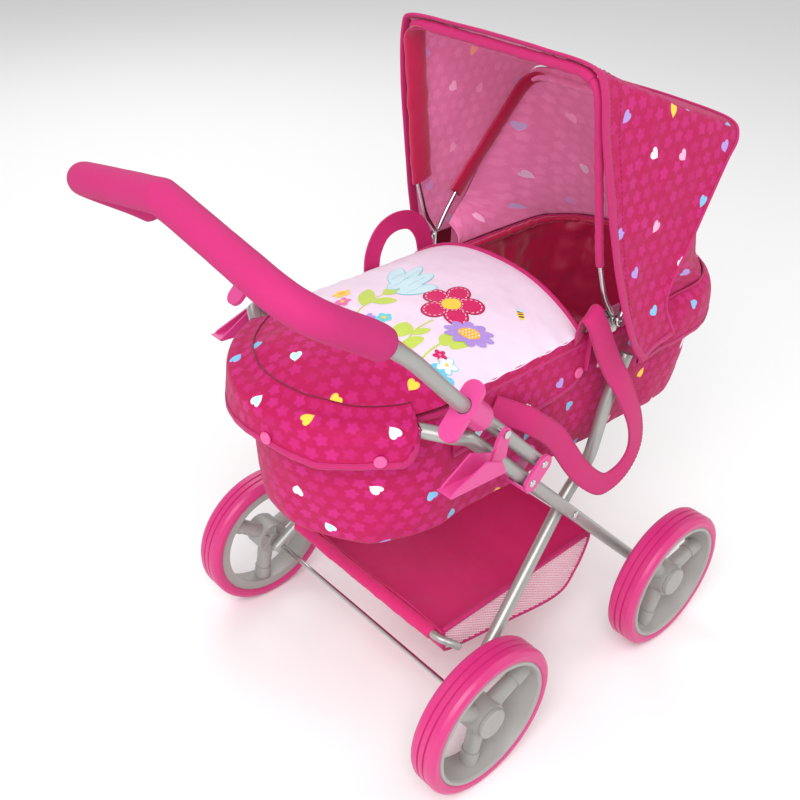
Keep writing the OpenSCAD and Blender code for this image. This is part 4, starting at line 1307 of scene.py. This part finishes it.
normal = np.cross(np.gradient(grid[4], axis=0), grid[5] - grid[3])
normal /= np.linalg.norm(normal, axis=1)[:, None]
if normal[columns // 2][2] < 0:
    normal = -normal
hood_seam = stitches("hood_front_stitches", [grid[4] + normal * 0.25], dark_thread, pitch=4.5)
with_canopy(hood_seam)

# Back panel.
BACK_R = HEAD_R + 0.5
foot_half = [(68, 102, RIM_Z + 5), (88, 101.5, RIM_Z + 6.5)] + [
    (HEAD_X + BACK_R * math.cos(a), HEAD_SIDE + BACK_R * math.sin(a), RIM_Z + 6.5)
    for a in np.radians((80, 60, 40, 25, 12, 6, 2))] + [(HEAD_X + BACK_R, 0, RIM_Z + 6.5)]
back_foot = smooth_line(across(foot_half), PER)
back_top = smooth_line(across([
    (68, 112.5, 390), (84, 117.8, 401), (97, 119.6, 412), (113, 119, 438), (135, 117.4, 472),
    (156, 116.2, 500), (170.5, 115, 516), (173.6, 103, 527.5), (175, 52, 531.4),
    (175, 0, 532.4)]), PER)
back_rows = []
for t in between_bows:
    row = back_top * (1 - t) + back_foot * t
    belly = 5.0 * math.sin(math.pi * t)
    out = row - np.array((110.0, 0, 0))
    out[:, 2] = 0
    out /= np.maximum(np.linalg.norm(out, axis=1), 1e-6)[:, None]
    back_rows.append(row - out * belly)
back_share = slack(0.1) * np.ones(len(back_top))
back_grid = rumple(back_rows, 2.6, 55, 21.0, back_share)
back_grid = rumple(back_grid, 0.8, 18, 22.0, back_share)
mean_arc = length_along(back_grid.mean(axis=0))
back_uv = np.stack([np.broadcast_to(mean_arc, back_grid.shape[:2]), back_grid[..., 2]], axis=2)
hood_back = grid_piece("hood_back_cloth", back_grid, [print_out, print_in], thick=1.3, uv=back_uv)
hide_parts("hood_back")
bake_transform(hood_back)

# ---- basket ----

BASKET_TOP, BASKET_HALF = 132.0, 103.0
NET_PITCH, NET_SLOPE, NET_THREAD = 5.0, 0.62, 0.5
under_line = smooth_line([(-131, 0, 130), (-130, 0, 113), (-122, 0, 104), (-60, 0, 90), (30, 0, 72),
                          (58, 0, 92), (71, 0, 120), (72, 0, 131)])
basket_rows = []
for p in resampled(under_line, count=70):
    row = []
    for k in np.linspace(-1, 1, 60):
        belly = 5.0 * (1 - k * k) * max(0.0, 1 - abs(p[0] + 30) / 110)
        row.append((p[0], k * BASKET_HALF, p[2] + 1.2 - belly * 0.6))
    basket_rows.append(row)
basket_rows = rumple(basket_rows, 1.6, 40, 31.0)
basket_squash = dict(axis=(1, 0, 0), anchor=tuple(to_frame((72, 0, 100))), keep=0.3)
basket = grid_piece("basket_cloth", basket_rows, basket_cloth, thick=1.1, flip=True)
put(basket, "chassis", ["basket_floor"])
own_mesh(basket)


basket_side = resampled(under_line, count=200)
basket_side = basket_side[np.argsort(basket_side[:, 0])]


def net_lines(y):
    """Threads both ways across the basket's side, wherever they lie inside its outline."""
    lines = []
    for slope in (1, -1):
        for start in np.arange(-230, 170, NET_PITCH):
            line = []
            for x in np.arange(-130, 71.5, 2.0):
                z = 70 + slope * (x - start) * NET_SLOPE
                low = np.interp(x, basket_side[:, 0], basket_side[:, 2])
                if low + 0.5 < z < BASKET_TOP - 1:
                    line.append((x, y + 0.25 * slope, z))
                else:
                    lines.append(line)
                    line = []
            lines.append(line)
    return [line for line in lines if len(line) > 2]


for hand, sign in (("right", -1), ("left", 1)):
    y = sign * (BASKET_HALF + 0.7)
    parts = [tube_mesh(line, NET_THREAD, sides=4) for line in net_lines(y)]
    net = joined(f"basket_net_{hand}", parts, net_thread)
    put(net, "chassis", [f"basket_mesh_{hand}"])
    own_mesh(net)
    rim_line = [(x, y, BASKET_TOP) for x in np.linspace(-131, 72, 40)]
    low_line = [(p[0], y, p[2]) for p in resampled(under_line, 4.0)]
    hems = joined(f"basket_hem_{hand}", [tube_mesh(rim_line, 2.4, sides=10),
                                         tube_mesh(low_line, 1.8, sides=10)], binding)
    put(hems, "chassis")
    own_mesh(hems)

low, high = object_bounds()
